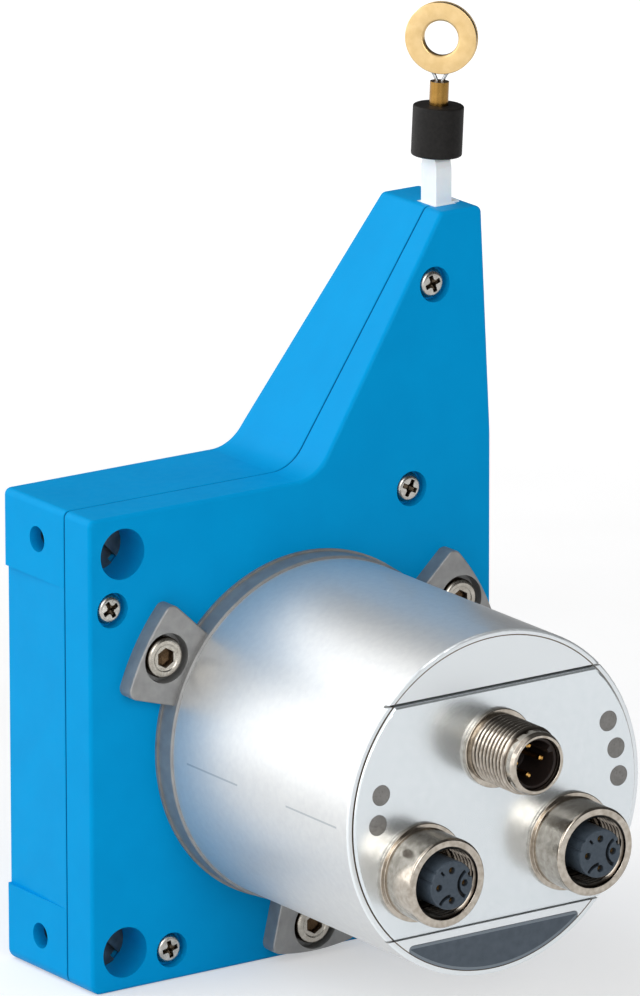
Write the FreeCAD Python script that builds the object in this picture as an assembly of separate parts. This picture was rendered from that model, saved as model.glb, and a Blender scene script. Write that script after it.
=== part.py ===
import FreeCAD, Part
import math
import os
from FreeCAD import Vector as V

# Draw wire encoder, in millimetres. X runs from the mounting side to the right, Y from the
# connector end to the back, Z up along the wire. The origin is midway between the two side
# bolt holes, on the mounting face.

# Draw wire and drum
WIRE_RADIUS = 0.3
DRUM_PITCH_RADIUS = 34.2
WINDING_WIDTH = 9.0
DRUM_FLANGE_WIDTH = 0.8
DRUM_FLANGE_RISE = 1.9
DRUM_RIM_WALL = 2.0
DRUM_WEB = 2.4
DRUM_WINDOWS = 6
DRUM_WINDOW_RADIUS = 5.6
DRUM_HUB_RADIUS = 11.5
DRUM_GAP = 0.8

# Housing outline and depth
LEFT_STRIP = 6.9
SIDE_WALL = 2.3
SHELL_WALL = 2.8
CHAMBER_MARGIN = 5.1
AXIS_DROP = 1.0
BODY_DEPTH = 26.3
COVER_DEPTH = 7.8
SIDE_HOLE_SETBACK = 16.0
WIRE_SETBACK = 9.3
TOWER_RISE = 42.0
TOWER_TOP_WIDTH = 8.5
TOWER_ROOT_WIDTH = 36.6
TOWER_ROOT_RADIUS = 7.5
CORNER_RADIUS = 1.2
FOOT_RADIUS = 2.0
FACE_EDGE_RADIUS = 0.7
SEAM_CHAMFER = 0.15
SEAM_GROOVE_WIDTH = 0.3
SEAM_GROOVE_DEPTH = 0.5
LEAN_START = 2.4
LEAN_BLEND = 30.0
FRONT_LEAN = 2.8
BACK_LEAN = 5.6

# Housing walls and bosses
FRONT_WALL = 3.6
BACK_WALL = 2.2
TOWER_CAP = 9.0
CHAMBER_WALL = 1.8
PAD_HEIGHT = 13.6
PAD_DRAFT = 1.0
SPIGOT_RADIUS = 18.0
SPIGOT_LENGTH = 2.0

# Housing screws: distance in from the nearer side, then distance from the edge above or below
LEFT_SCREW = (4.6, 16.3)
FOOT_SCREW = (16.3, 5.4)
ROOT_SCREW = (16.7, 5.0)
HEEL_SCREW = (4.5, 4.5)
TOWER_SCREW = (10.5, 12.2)
SCREW_HEAD_RADIUS = 2.75
SCREW_HEAD_HEIGHT = 1.9
SCREW_RECESS_RADIUS = 3.1
SCREW_RECESS_DEPTH = 2.2
SCREW_SHANK_RADIUS = 1.2
SCREW_LENGTH = 14.0
SCREW_HOLE_RADIUS = 1.4
SCREW_BOSS_RADIUS = 3.9

# Barrel nuts and the side bolt holes
BOLT_EDGE = 6.75
BOLT_HOLE_RADIUS = 2.25
NUT_CENTRE_X = 6.7
NUT_RADIUS = 4.4
NUT_LENGTH = 17.6
NUT_TAP_RADIUS = 2.0
NUT_SLOT_WIDTH = 1.4
NUT_SLOT_DEPTH = 1.6
NUT_SLOT_TURN = 45.0
NUT_BOSS_WALL = 1.9

# Drum shaft and rear bearing
HUB_RADIUS = 9.0
ARBOR_RADIUS = 10.2
JOURNAL_RADIUS = 5.0
REAR_BEARING_WIDTH = 3.0
REAR_BEARING_RADIUS = 7.5
BEARING_BOSS_WALL = 2.0
RACE_GAP = 0.1
FIT_GAP = 0.05
REST_GAP = 0.3

# How far a cutting shape stands past the surface that it opens
OVERCUT = 1.0

# Two places nearer than this are the same place
SAME_PLACE = 0.001

# Spiral spring and its case
SPRING_CASE_WALL = 0.8
SPRING_STRIP = 0.5
SPRING_TURNS = 5

# Wire nozzle and what sits above it
NOZZLE_WIDTH = 3.2
NOZZLE_DEPTH = 4.5
NOZZLE_RISE = 8.2
NOZZLE_TOP_SIDE = 3.0
NOZZLE_TAPER_HEIGHT = 1.8
NOZZLE_BEND_HEIGHT = 0.6
NOZZLE_BEND_SHARE = 1.0 / 3.0
NOZZLE_BORE_RADIUS = 0.6
NOZZLE_ROOT_WIDTH = 4.4
NOZZLE_ROOT_DEPTH = 5.4
NOZZLE_ROOT_LENGTH = 8.0
NOZZLE_LIP_WIDTH = 4.8
NOZZLE_LIP_THICKNESS = 0.3
WIPER_RADIUS = 1.45
WIPER_LENGTH = 3.0
WIRE_WAY = 2.4
STOPPER_GAP = 0.1
STOPPER_RADIUS = 4.4
STOPPER_LENGTH = 8.8
STOPPER_EDGE = 0.4
SLEEVE_RADIUS = 1.65
SLEEVE_LENGTH = 6.5
SLEEVE_RISE = 4.1
EYE_RADIUS = 6.25
EYE_HOLE_RADIUS = 3.0
EYE_THICKNESS = 1.6
EYE_GROOVE_DEPTH = 0.7
EYE_GROOVE_WIDTH = 0.9
EYE_NECK = 1.35
EYE_TURN = -47.0
WIRE_END_LEAN = 3.0

# Mounting collar with three lugs
COLLAR_THICKNESS = 4.4
COLLAR_OVERHANG = 0.4
COLLAR_BORE_RADIUS = 13.0
COLLAR_EDGE = 0.3
COLLAR_FOOT_STEP = 0.35
COLLAR_FOOT_HEIGHT = 0.5
LUG_ANGLES = [30.0, 150.0, 270.0]
LUG_HALF_ANGLE = 13.0
LUG_REACH = 10.0
LUG_THICKNESS = 3.3
LUG_CORNER = 1.6
LUG_EDGE = 0.3
LUG_BOLT_REACH = 5.2
CAP_HEAD_RADIUS = 3.6
CAP_HEAD_HEIGHT = 2.2
CAP_SINK = 0.1
CAP_CHAMFER = 0.3
CAP_HEX = 3.0
CAP_HEX_DEPTH = 1.4
CAP_SHANK_RADIUS = 2.0
CAP_HOLE_RADIUS = 2.2
COUNTERBORE_RADIUS = 4.4

# Encoder can, flange and shaft
CAN_RADIUS = 30.0
CAN_LENGTH = 51.5
CAN_WALL = 1.2
CAN_END_WALL = 1.5
CAN_END_EDGE = 0.4
FLANGE_CLEARANCE = 0.2
FLANGE_THICKNESS = 5.0
FLANGE_BOSS_RADIUS = 13.0
SHAFT_RADIUS = 5.0
ENCODER_BEARING_RADIUS = 9.5
ENCODER_BEARING_WIDTH = 5.0
ENCODER_BEARING_SPACE = 1.5
DISC_CLEARANCE = 0.9
DISC_THICKNESS = 1.0
DISC_HUB_RADIUS = 7.6
DISC_GAP = 1.6
BOARD_CLEARANCE = 2.3
BOARD_THICKNESS = 1.6
SENSOR_GAP = 2.0
SENSOR_HOLE_RADIUS = 6.5
MAIN_BOARD_SETBACK = 9.0
POST_INSET = 7.0
POST_RADIUS = 1.8
POST_ANGLES = [30.0, 150.0, 270.0]
SEAL_GROOVE = 0.9

# Connector plate, label panel and what the plate carries
SEGMENT_HEIGHT = 9.3
CHORD_GAP = 0.4
CHORD_GROOVE_DEPTH = 0.8
PLATE_RIM = 1.1
PLATE_RISE = 0.5
PLATE_THICKNESS = 3.0
PLATE_EDGE = 0.45
PANEL_STEP = 1.3
PANEL_RIM = 1.0
PANEL_CORNER = 0.8
PANEL_THICKNESS = 0.5
POWER_INSET = 10.8
DATA_INSET = 11.6
LEFT_DATA_OFFSET = 15.6
RIGHT_DATA_OFFSET = 14.9
LAMP_RADIUS = 1.75
LAMP_DEPTH = 2.5
RIGHT_LAMP_INSET = 4.6
RIGHT_LAMP_HEIGHTS = [10.4, 5.4, 0.4]
LEFT_LAMP_INSET = 5.9
LEFT_LAMP_HEIGHTS = [5.6, 0.5]

# Screw-in connectors
POWER_RADIUS = 6.0
POWER_LENGTH = 12.2
POWER_TIP_RADIUS = 5.0
POWER_TIP_LENGTH = 0.7
POWER_NECK_RADIUS = 5.45
POWER_NECK_LENGTH = 1.4
POWER_CUP_RADIUS = 4.5
POWER_CUP_DEPTH = 9.2
POWER_BASE_RADIUS = 6.85
POWER_BASE_LENGTH = 0.9
STEM_RADIUS = 5.6
STEM_LENGTH = 5.0
PIN_RADIUS = 0.5
PIN_REACH = 2.6
PIN_LENGTH = 6.5
PIN_NOSE = 0.25
PIN_TURN = 0.0
DATA_RADIUS = 7.75
DATA_LENGTH = 7.9
DATA_EDGE = 0.5
DATA_BASE_RADIUS = 8.55
DATA_BASE_LENGTH = 0.8
DATA_BORE_RADIUS = 6.0
DATA_MOUTH_CHAMFER = 0.4
DATA_FLOOR = 1.0
INSERT_RADIUS = 4.2
INSERT_RISE = 1.4
INSERT_EDGE = 0.2
CONTACT_HOLE_RADIUS = 0.6
CONTACT_RADIUS = 0.55
CONTACT_BORE_RADIUS = 0.35
CONTACT_SINK = 1.0
CONTACT_DEPTH = 5.0
CONTACT_TURN = 0.0
KEY_RADIUS = 0.7
KEY_TURN = 20.0

# Places that follow from the sizes above
DRUM_RADIUS = DRUM_PITCH_RADIUS + DRUM_FLANGE_RISE
DRUM_SURFACE_RADIUS = DRUM_PITCH_RADIUS - WIRE_RADIUS
CHAMBER_RADIUS = DRUM_RADIUS + DRUM_GAP
BODY_WIDTH = LEFT_STRIP + 2 * CHAMBER_RADIUS + SIDE_WALL
AXIS_X = LEFT_STRIP + CHAMBER_RADIUS
AXIS_Z = -AXIS_DROP
TOP_Z = CHAMBER_RADIUS + CHAMBER_MARGIN
BOLT_Z = TOP_Z - BOLT_EDGE
FRONT_Y = -SIDE_HOLE_SETBACK
INNER_FRONT_Y = FRONT_Y + FRONT_WALL
BACK_Y = FRONT_Y + BODY_DEPTH
INNER_BACK_Y = BACK_Y - BACK_WALL
SEAM_Y = FRONT_Y + COVER_DEPTH
TOWER_TOP_Z = TOP_Z + TOWER_RISE
LEAN_Z = TOP_Z + LEAN_START
WIRE_X = AXIS_X + DRUM_PITCH_RADIUS
WIRE_Y = FRONT_Y + WIRE_SETBACK
NOZZLE_ROOT_Z = TOWER_TOP_Z - NOZZLE_ROOT_LENGTH
NOZZLE_TOP_Z = TOWER_TOP_Z + NOZZLE_RISE
SCREW_PLACES = [(LEFT_SCREW[0], TOP_Z - LEFT_SCREW[1]), (FOOT_SCREW[0], FOOT_SCREW[1] - TOP_Z),
                (BODY_WIDTH - ROOT_SCREW[0], TOP_Z - ROOT_SCREW[1]),
                (BODY_WIDTH - HEEL_SCREW[0], HEEL_SCREW[1] - TOP_Z),
                (BODY_WIDTH - TOWER_SCREW[0], TOWER_TOP_Z - TOWER_SCREW[1])]
WINDING_Y0 = WIRE_Y - WINDING_WIDTH / 2
WINDING_Y1 = WIRE_Y + WINDING_WIDTH / 2
DRUM_Y0 = WINDING_Y0 - DRUM_FLANGE_WIDTH
DRUM_Y1 = WINDING_Y1 + DRUM_FLANGE_WIDTH
HUB_BORE_Y = WINDING_Y1
CASE_RADIUS = CHAMBER_RADIUS - REST_GAP
CASE_BORE_RADIUS = CASE_RADIUS - SPRING_CASE_WALL
SPRING_COVER_Y = DRUM_Y1 + REST_GAP
SPRING_CASE_Y = SPRING_COVER_Y + SPRING_CASE_WALL
CASE_FLOOR_Y = INNER_BACK_Y - SPRING_CASE_WALL
JOURNAL_Y = INNER_BACK_Y - REAR_BEARING_WIDTH
COLLAR_FRONT_Y = FRONT_Y - COLLAR_THICKNESS
LUG_FRONT_Y = FRONT_Y - LUG_THICKNESS
CAP_SEAT_Y = LUG_FRONT_Y + CAP_SINK + CAP_HEAD_HEIGHT
COLLAR_RADIUS = CAN_RADIUS + COLLAR_OVERHANG
LUG_RADIUS = CAN_RADIUS + LUG_REACH
LUG_BOLT_CIRCLE = CAN_RADIUS + LUG_BOLT_REACH
CAN_END_Y = COLLAR_FRONT_Y - CAN_LENGTH
CAN_BORE_RADIUS = CAN_RADIUS - CAN_WALL
CHORD = CAN_RADIUS - SEGMENT_HEIGHT
PLATE_RADIUS = CAN_RADIUS - PLATE_RIM
PANEL_CHORD = CHORD + PANEL_STEP
PANEL_RADIUS = CAN_RADIUS - PANEL_RIM
POWER_PLACE = (0.0, CHORD - POWER_INSET)
DATA_PLACES = [(-LEFT_DATA_OFFSET, DATA_INSET - CHORD), (RIGHT_DATA_OFFSET, DATA_INSET - CHORD)]
RIGHT_LAMP_REACH = CAN_RADIUS - RIGHT_LAMP_INSET
LEFT_LAMP_REACH = CAN_RADIUS - LEFT_LAMP_INSET
BOARD_RADIUS = CAN_BORE_RADIUS - BOARD_CLEARANCE
POST_REACH = BOARD_RADIUS - POST_INSET
DISC_RADIUS = POST_REACH - POST_RADIUS - DISC_CLEARANCE
PLATE_FRONT_Y = CAN_END_Y - PLATE_RISE
PLATE_BACK_Y = PLATE_FRONT_Y + PLATE_THICKNESS
FLANGE_RADIUS = CAN_BORE_RADIUS - FLANGE_CLEARANCE
FLANGE_FRONT_Y = COLLAR_FRONT_Y - FLANGE_THICKNESS
SEAL_Y = (FLANGE_FRONT_Y + COLLAR_FRONT_Y) / 2
NEAR_BEARING_Y = COLLAR_FRONT_Y - ENCODER_BEARING_WIDTH
FAR_BEARING_Y = NEAR_BEARING_Y - ENCODER_BEARING_SPACE - ENCODER_BEARING_WIDTH
DISC_Y = FAR_BEARING_Y - DISC_GAP
SENSOR_Y = DISC_Y - DISC_THICKNESS - SENSOR_GAP
MAIN_Y = CAN_END_Y + MAIN_BOARD_SETBACK
POWER_TIP_Y = PLATE_FRONT_Y - POWER_LENGTH
POWER_FLOOR_Y = POWER_TIP_Y + POWER_CUP_DEPTH
DATA_TIP_Y = PLATE_FRONT_Y - DATA_LENGTH
INSERT_FACE_Y = DATA_TIP_Y - INSERT_RISE
STEM_END_Y = PLATE_FRONT_Y + STEM_LENGTH
STOPPER_Z = NOZZLE_TOP_Z + STOPPER_GAP
STOPPER_TOP_Z = STOPPER_Z + STOPPER_LENGTH
SLEEVE_TOP_Z = STOPPER_TOP_Z + SLEEVE_RISE
SLEEVE_Z = SLEEVE_TOP_Z - SLEEVE_LENGTH
EYE_Z = SLEEVE_TOP_Z + EYE_NECK + EYE_RADIUS


def cyl_y(radius, y0, y1, x=AXIS_X, z=AXIS_Z):
    """Cylinder along Y from y0 to y1."""
    return Part.makeCylinder(radius, y1 - y0, V(x, y0, z), V(0, 1, 0))


def cyl_x(radius, x0, x1, y, z):
    """Cylinder along X from x0 to x1."""
    return Part.makeCylinder(radius, x1 - x0, V(x0, y, z), V(1, 0, 0))


def cyl_z(radius, z0, z1, x, y):
    """Cylinder along Z from z0 to z1."""
    return Part.makeCylinder(radius, z1 - z0, V(x, y, z0), V(0, 0, 1))


def ring_y(outer, inner, y0, y1, x=AXIS_X, z=AXIS_Z):
    """Plain ring along Y."""
    return cyl_y(outer, y0, y1, x, z).cut(cyl_y(inner, y0 - OVERCUT, y1 + OVERCUT, x, z))


def box(x0, x1, y0, y1, z0, z1):
    """Box between two corners."""
    return Part.makeBox(x1 - x0, y1 - y0, z1 - z0, V(x0, y0, z0))


def turned(profile, x=AXIS_X, z=AXIS_Z):
    """Solid of revolution about the line along Y through (x, z); profile holds (radius, y)."""
    corners = [V(x + radius, y, z) for radius, y in profile]
    face = Part.Face(Part.makePolygon(corners + corners[:1]))
    return face.revolve(V(x, 0, z), V(0, 1, 0), 360)


def fuse_all(shapes):
    """One solid from several that meet."""
    first = shapes[0]
    return first.fuse(shapes[1:]).removeSplitter() if len(shapes) > 1 else first


def polar(radius, angle, x=AXIS_X, z=AXIS_Z):
    """Place at a radius and an angle in degrees from +X, seen from the front."""
    turn = math.radians(angle)
    return x + radius * math.cos(turn), z + radius * math.sin(turn)


def inset_corners(points, insets):
    """Corners of a counter-clockwise outline whose edges each move inwards by their inset."""
    count = len(points)
    lines = []
    for i in range(count):
        (ax, az), (bx, bz) = points[i], points[(i + 1) % count]
        length = math.hypot(bx - ax, bz - az)
        nx, nz = -(bz - az) / length, (bx - ax) / length
        lines.append((nx, nz, nx * ax + nz * az + insets[i]))
    corners = []
    for i in range(count):
        (a1, b1, c1), (a2, b2, c2) = lines[i - 1], lines[i]
        det = a1 * b2 - a2 * b1
        corners.append(((c1 * b2 - c2 * b1) / det, (a1 * c2 - a2 * c1) / det))
    return corners


def rounded_face(points, radii, y):
    """Face in the plane at y: straight edges joined by tangent arcs at the corners."""
    count = len(points)
    starts, mids, ends = [], [], []
    for i in range(count):
        here = V(points[i][0], y, points[i][1])
        before = V(points[i - 1][0], y, points[i - 1][1]) - here
        after = V(points[(i + 1) % count][0], y, points[(i + 1) % count][1]) - here
        before.normalize()
        after.normalize()
        half = before.getAngle(after) / 2
        reach = radii[i] / math.tan(half)
        middle = (before + after).normalize()
        centre = here + middle * (radii[i] / math.sin(half))
        starts.append(here + before * reach)
        ends.append(here + after * reach)
        mids.append(centre - middle * radii[i])
    edges = []
    for i in range(count):
        edges.append(Part.Arc(starts[i], mids[i], ends[i]).toShape())
        edges.append(Part.LineSegment(ends[i], starts[(i + 1) % count]).toShape())
    return Part.Face(Part.Wire(edges))


def housing_corners():
    """Outline of the housing seen from the front, counter-clockwise from the bottom left."""
    return [(0, -TOP_Z), (BODY_WIDTH, -TOP_Z), (BODY_WIDTH, TOWER_TOP_Z),
            (BODY_WIDTH - TOWER_TOP_WIDTH, TOWER_TOP_Z), (BODY_WIDTH - TOWER_ROOT_WIDTH, TOP_Z),
            (0, TOP_Z)]


def lean_heights(lean):
    """Angle of a leaning face and the heights where its blend starts and ends."""
    angle = math.atan(lean / (TOWER_TOP_Z - LEAN_Z))
    start = LEAN_Z - LEAN_BLEND * math.tan(angle / 2)
    return angle, start, start + LEAN_BLEND * math.sin(angle)


def lean_cut(y_face, lean, inwards):
    """Space outside the tower's front or back face, which leans in above a soft bend."""
    angle, start, end = lean_heights(lean)
    outside = y_face - inwards * BODY_DEPTH
    top = TOWER_TOP_Z + OVERCUT

    def on_blend(turn):
        depth = y_face + inwards * LEAN_BLEND * (1 - math.cos(turn))
        return V(-OVERCUT, depth, start + LEAN_BLEND * math.sin(turn))
    first, last = on_blend(0), on_blend(angle)
    high = V(-OVERCUT, last.y + inwards * (top - end) * math.tan(angle), top)
    corner, low = V(-OVERCUT, outside, top), V(-OVERCUT, outside, start)
    edges = [Part.Arc(first, on_blend(angle / 2), last).toShape(), Part.LineSegment(last, high).toShape(),
             Part.LineSegment(high, corner).toShape(), Part.LineSegment(corner, low).toShape(),
             Part.LineSegment(low, first).toShape()]
    return Part.Face(Part.Wire(edges)).extrude(V(BODY_WIDTH + 2 * OVERCUT, 0, 0))


def outline_solid(corners, radii, y0, y1, front_face, back_face):
    """Rounded outline between two depths, with the tower's faces leaning in from two faces."""
    block = rounded_face(corners, radii, y0).extrude(V(0, y1 - y0, 0))
    if y0 < SEAM_Y:
        block = block.cut(lean_cut(front_face, FRONT_LEAN, 1))
    if y1 > SEAM_Y:
        block = block.cut(lean_cut(back_face, BACK_LEAN, -1))
    return block


def housing_block(y0, y1):
    """Outer form of the housing between two depths."""
    radii = [FOOT_RADIUS, CORNER_RADIUS, CORNER_RADIUS, CORNER_RADIUS, TOWER_ROOT_RADIUS, CORNER_RADIUS]
    return outline_solid(housing_corners(), radii, y0, y1, FRONT_Y, BACK_Y)


def housing_hollow(y0, y1):
    """Space inside the walls between two depths: it stops short of the tower's solid top."""
    walls = [SHELL_WALL, SHELL_WALL, TOWER_CAP, SHELL_WALL, SHELL_WALL, SHELL_WALL]
    radii = [CORNER_RADIUS] * 4 + [TOWER_ROOT_RADIUS + SHELL_WALL, CORNER_RADIUS]
    corners = inset_corners(housing_corners(), walls)
    return outline_solid(corners, radii, y0, y1, INNER_FRONT_Y, INNER_BACK_Y)


def lean_depth(z, lean):
    """How far a leaning face stands in from its plane at a height."""
    return lean * max(0.0, z - LEAN_Z) / (TOWER_TOP_Z - LEAN_Z)


def rim_edges(shape, lean):
    """Edges round the face opposite the seam, without the two lines of its bend."""
    bends = lean_heights(lean)[1:]
    found = []
    for edge in shape.Edges:
        ends = [vertex.Point for vertex in edge.Vertexes]
        on_seam = any(abs(point.y - SEAM_Y) < SAME_PLACE for point in ends)
        on_bend = any(all(abs(point.z - bend) < SAME_PLACE for point in ends) for bend in bends)
        if not on_seam and not on_bend:
            found.append(edge)
    return found


def seam_groove():
    """Narrow rebate round the front shell where it meets the rear one."""
    y0, depth = SEAM_Y - SEAM_GROOVE_WIDTH, SEAM_GROOVE_DEPTH
    small = CORNER_RADIUS - depth
    radii = [FOOT_RADIUS - depth, small, small, small, TOWER_ROOT_RADIUS + depth, small]
    corners = inset_corners(housing_corners(), [depth] * 6)
    core = rounded_face(corners, radii, y0).extrude(V(0, SEAM_GROOVE_WIDTH, 0))
    return housing_block(y0, SEAM_Y).cut(core)


def seam_edges(shape):
    """Outer edges of a shell on the plane where the two shells meet."""
    found = []
    for edge in shape.Edges:
        middle = edge.valueAt((edge.FirstParameter + edge.LastParameter) / 2)
        ends = [vertex.Point for vertex in edge.Vertexes] + [middle]
        if all(abs(point.y - SEAM_Y) < SAME_PLACE for point in ends):
            found.append(edge)
    return found


def nut_places():
    """Centres of the two barrel nuts on the front face."""
    return [(NUT_CENTRE_X, BOLT_Z), (NUT_CENTRE_X, -BOLT_Z)]


def shell_bosses(y0, y1):
    """Chamber wall, screw bosses and barrel nut bosses between two depths."""
    parts = [cyl_y(CHAMBER_RADIUS + CHAMBER_WALL, y0, y1)]
    for x, z in SCREW_PLACES:
        parts.append(cyl_y(SCREW_BOSS_RADIUS, y0, y1, x, z))
    for x, z in nut_places():
        parts.append(cyl_y(NUT_RADIUS + FIT_GAP + NUT_BOSS_WALL, y0, y1, x, z))
    return parts


def wire_way():
    """Passage for the wire from the drum chamber up the tower to the nozzle."""
    half = WIRE_WAY / 2
    return box(WIRE_X - half, WIRE_X + half, WIRE_Y - half, WIRE_Y + half, AXIS_Z, NOZZLE_ROOT_Z + OVERCUT)


def nozzle_pocket():
    """Pocket in the tower's top, shared by both shells, that clamps the nozzle's root."""
    half_x = NOZZLE_ROOT_WIDTH / 2 + FIT_GAP
    half_y = NOZZLE_ROOT_DEPTH / 2 + FIT_GAP
    return box(WIRE_X - half_x, WIRE_X + half_x, WIRE_Y - half_y, WIRE_Y + half_y, NOZZLE_ROOT_Z,
               TOWER_TOP_Z + OVERCUT)


def nut_bores():
    """Bores for the barrel nuts from the front face, each ending at its nut's back."""
    return [cyl_y(NUT_RADIUS + FIT_GAP, FRONT_Y - OVERCUT, NUT_LENGTH / 2, x, z) for x, z in nut_places()]


def screw_seat(z):
    """Depth of a housing screw's seat at a height."""
    return FRONT_Y + lean_depth(z, FRONT_LEAN) + SCREW_RECESS_DEPTH


def front_cover():
    """Front shell: flat face with the leaning tower, chamber, bosses, holes and recesses."""
    block = housing_block(FRONT_Y, SEAM_Y)
    block = block.makeFillet(FACE_EDGE_RADIUS, rim_edges(block, FRONT_LEAN))
    block = block.cut(seam_groove())
    hollow = housing_hollow(INNER_FRONT_Y, SEAM_Y)
    shell = block.cut(hollow)
    shell = shell.fuse(fuse_all(shell_bosses(INNER_FRONT_Y, SEAM_Y)).common(hollow))
    cuts = [cyl_y(CHAMBER_RADIUS, INNER_FRONT_Y, SEAM_Y), wire_way(), nozzle_pocket()]
    cuts.append(cyl_y(SPIGOT_RADIUS + FIT_GAP, FRONT_Y - OVERCUT, SEAM_Y))
    cuts += nut_bores()
    for x, z in SCREW_PLACES:
        cuts.append(cyl_y(SCREW_RECESS_RADIUS, FRONT_Y - OVERCUT, screw_seat(z), x, z))
        cuts.append(cyl_y(SCREW_HOLE_RADIUS, FRONT_Y, SEAM_Y, x, z))
    for angle in LUG_ANGLES:
        x, z = polar(LUG_BOLT_CIRCLE, angle)
        cuts.append(cyl_y(CAP_SHANK_RADIUS + FIT_GAP, FRONT_Y - OVERCUT, SEAM_Y, x, z))
    return shell.cut(cuts).removeSplitter()


def side_draft():
    """Wedge that leaves two mounting pads standing square on the drafted left wall."""
    half = TOP_Z - PAD_HEIGHT
    corners = [V(0, SEAM_Y, -half), V(-OVERCUT, SEAM_Y, -half), V(-OVERCUT, BACK_Y + OVERCUT, -half)]
    corners.append(V(PAD_DRAFT, BACK_Y + OVERCUT, -half))
    face = Part.Face(Part.makePolygon(corners + corners[:1]))
    return face.extrude(V(0, 0, 2 * half))


def rear_shell():
    """Rear shell: drafted walls, mounting pads, chamber, bearing boss and side bolt holes."""
    block = housing_block(SEAM_Y, BACK_Y)
    block = block.makeFillet(FACE_EDGE_RADIUS, rim_edges(block, BACK_LEAN))
    block = block.makeChamfer(SEAM_CHAMFER, seam_edges(block))
    block = block.cut(side_draft())
    hollow = housing_hollow(SEAM_Y, INNER_BACK_Y)
    shell = block.cut(hollow)
    shell = shell.fuse(fuse_all(shell_bosses(SEAM_Y, INNER_BACK_Y)).common(hollow))
    cuts = [cyl_y(CHAMBER_RADIUS, SEAM_Y, INNER_BACK_Y), wire_way(), nozzle_pocket()]
    cuts += nut_bores()
    for x, z in SCREW_PLACES:
        end = screw_seat(z) + SCREW_LENGTH + REST_GAP
        cuts.append(cyl_y(SCREW_SHANK_RADIUS + FIT_GAP, SEAM_Y, end, x, z))
    for x, z in nut_places():
        cuts.append(cyl_x(BOLT_HOLE_RADIUS, -OVERCUT, x, 0, z))
    shell = shell.cut(cuts)
    seat = REAR_BEARING_RADIUS + FIT_GAP
    return shell.fuse(ring_y(seat + BEARING_BOSS_WALL, seat, JOURNAL_Y, INNER_BACK_Y)).removeSplitter()


def rim_at(shape, y):
    """Closed circular edges of a shape at one depth."""
    return [edge for edge in shape.Edges if edge.Closed and abs(edge.CenterOfMass.y - y) < SAME_PLACE]


def housing_screws():
    """Five pan head screws that hold the shells together."""
    screws = []
    for x, z in SCREW_PLACES:
        seat = screw_seat(z)
        top = seat - SCREW_HEAD_HEIGHT
        head = cyl_y(SCREW_HEAD_RADIUS, top, seat, x, z)
        head = head.makeFillet(SCREW_HEAD_HEIGHT / 2, rim_at(head, top))
        screws.append(head.fuse(cyl_y(SCREW_SHANK_RADIUS, seat, seat + SCREW_LENGTH, x, z)))
    return screws


def barrel_nuts():
    """Two steel cross nuts with a tapped cross hole and a slot for turning them."""
    nuts = []
    for x, z in nut_places():
        nut = cyl_y(NUT_RADIUS, -NUT_LENGTH / 2, NUT_LENGTH / 2, x, z)
        nut = nut.cut(cyl_x(NUT_TAP_RADIUS, x - NUT_RADIUS - OVERCUT, x + NUT_RADIUS + OVERCUT, 0, z))
        half = NUT_SLOT_WIDTH / 2
        slot = box(-NUT_RADIUS - OVERCUT, NUT_RADIUS + OVERCUT, -OVERCUT, NUT_SLOT_DEPTH, -half, half)
        slot.rotate(V(0, 0, 0), V(0, 1, 0), NUT_SLOT_TURN)
        slot.translate(V(x, -NUT_LENGTH / 2, z))
        nuts.append(nut.cut(slot))
    return nuts


def wire_drum():
    """Drum: smooth rim between two flanges, web with round windows, hub."""
    rim_in = DRUM_SURFACE_RADIUS - DRUM_RIM_WALL
    bore = HUB_RADIUS + FIT_GAP
    web0, web1 = WIRE_Y - DRUM_WEB / 2, WIRE_Y + DRUM_WEB / 2
    profile = [(bore, DRUM_Y0), (DRUM_HUB_RADIUS, DRUM_Y0), (DRUM_HUB_RADIUS, web0), (rim_in, web0),
               (rim_in, DRUM_Y0), (DRUM_RADIUS, DRUM_Y0), (DRUM_RADIUS, WINDING_Y0),
               (DRUM_SURFACE_RADIUS, WINDING_Y0), (DRUM_SURFACE_RADIUS, WINDING_Y1),
               (DRUM_RADIUS, WINDING_Y1), (DRUM_RADIUS, DRUM_Y1), (rim_in, DRUM_Y1), (rim_in, web1),
               (DRUM_HUB_RADIUS, web1), (DRUM_HUB_RADIUS, DRUM_Y1), (bore, DRUM_Y1)]
    windows = []
    for i in range(DRUM_WINDOWS):
        x, z = polar((DRUM_HUB_RADIUS + rim_in) / 2, 360.0 * i / DRUM_WINDOWS)
        windows.append(cyl_y(DRUM_WINDOW_RADIUS, web0 - OVERCUT, web1 + OVERCUT, x, z))
    return turned(profile).cut(windows)


def wire_winding():
    """Single layer of wire that lies on the drum between its flanges."""
    return ring_y(DRUM_SURFACE_RADIUS + 2 * WIRE_RADIUS, DRUM_SURFACE_RADIUS, WINDING_Y0, WINDING_Y1)


def drum_shaft():
    """Steel shaft: hub that takes the encoder shaft, spring arbor and rear journal."""
    bore = SHAFT_RADIUS + FIT_GAP
    arbor_end, end = JOURNAL_Y - REST_GAP, INNER_BACK_Y - REST_GAP
    profile = [(bore, DRUM_Y0), (HUB_RADIUS, DRUM_Y0), (HUB_RADIUS, DRUM_Y1), (ARBOR_RADIUS, DRUM_Y1),
               (ARBOR_RADIUS, arbor_end), (JOURNAL_RADIUS, arbor_end), (JOURNAL_RADIUS, end), (0, end),
               (0, HUB_BORE_Y), (bore, HUB_BORE_Y)]
    return turned(profile)


def race_pair(bore, outside, y0, y1):
    """Inner and outer ring of one sealed ball bearing."""
    split = (bore + outside) / 2
    inner = ring_y(split - RACE_GAP / 2, bore, y0, y1)
    outer = ring_y(outside, split + RACE_GAP / 2, y0, y1)
    return inner, outer


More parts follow.
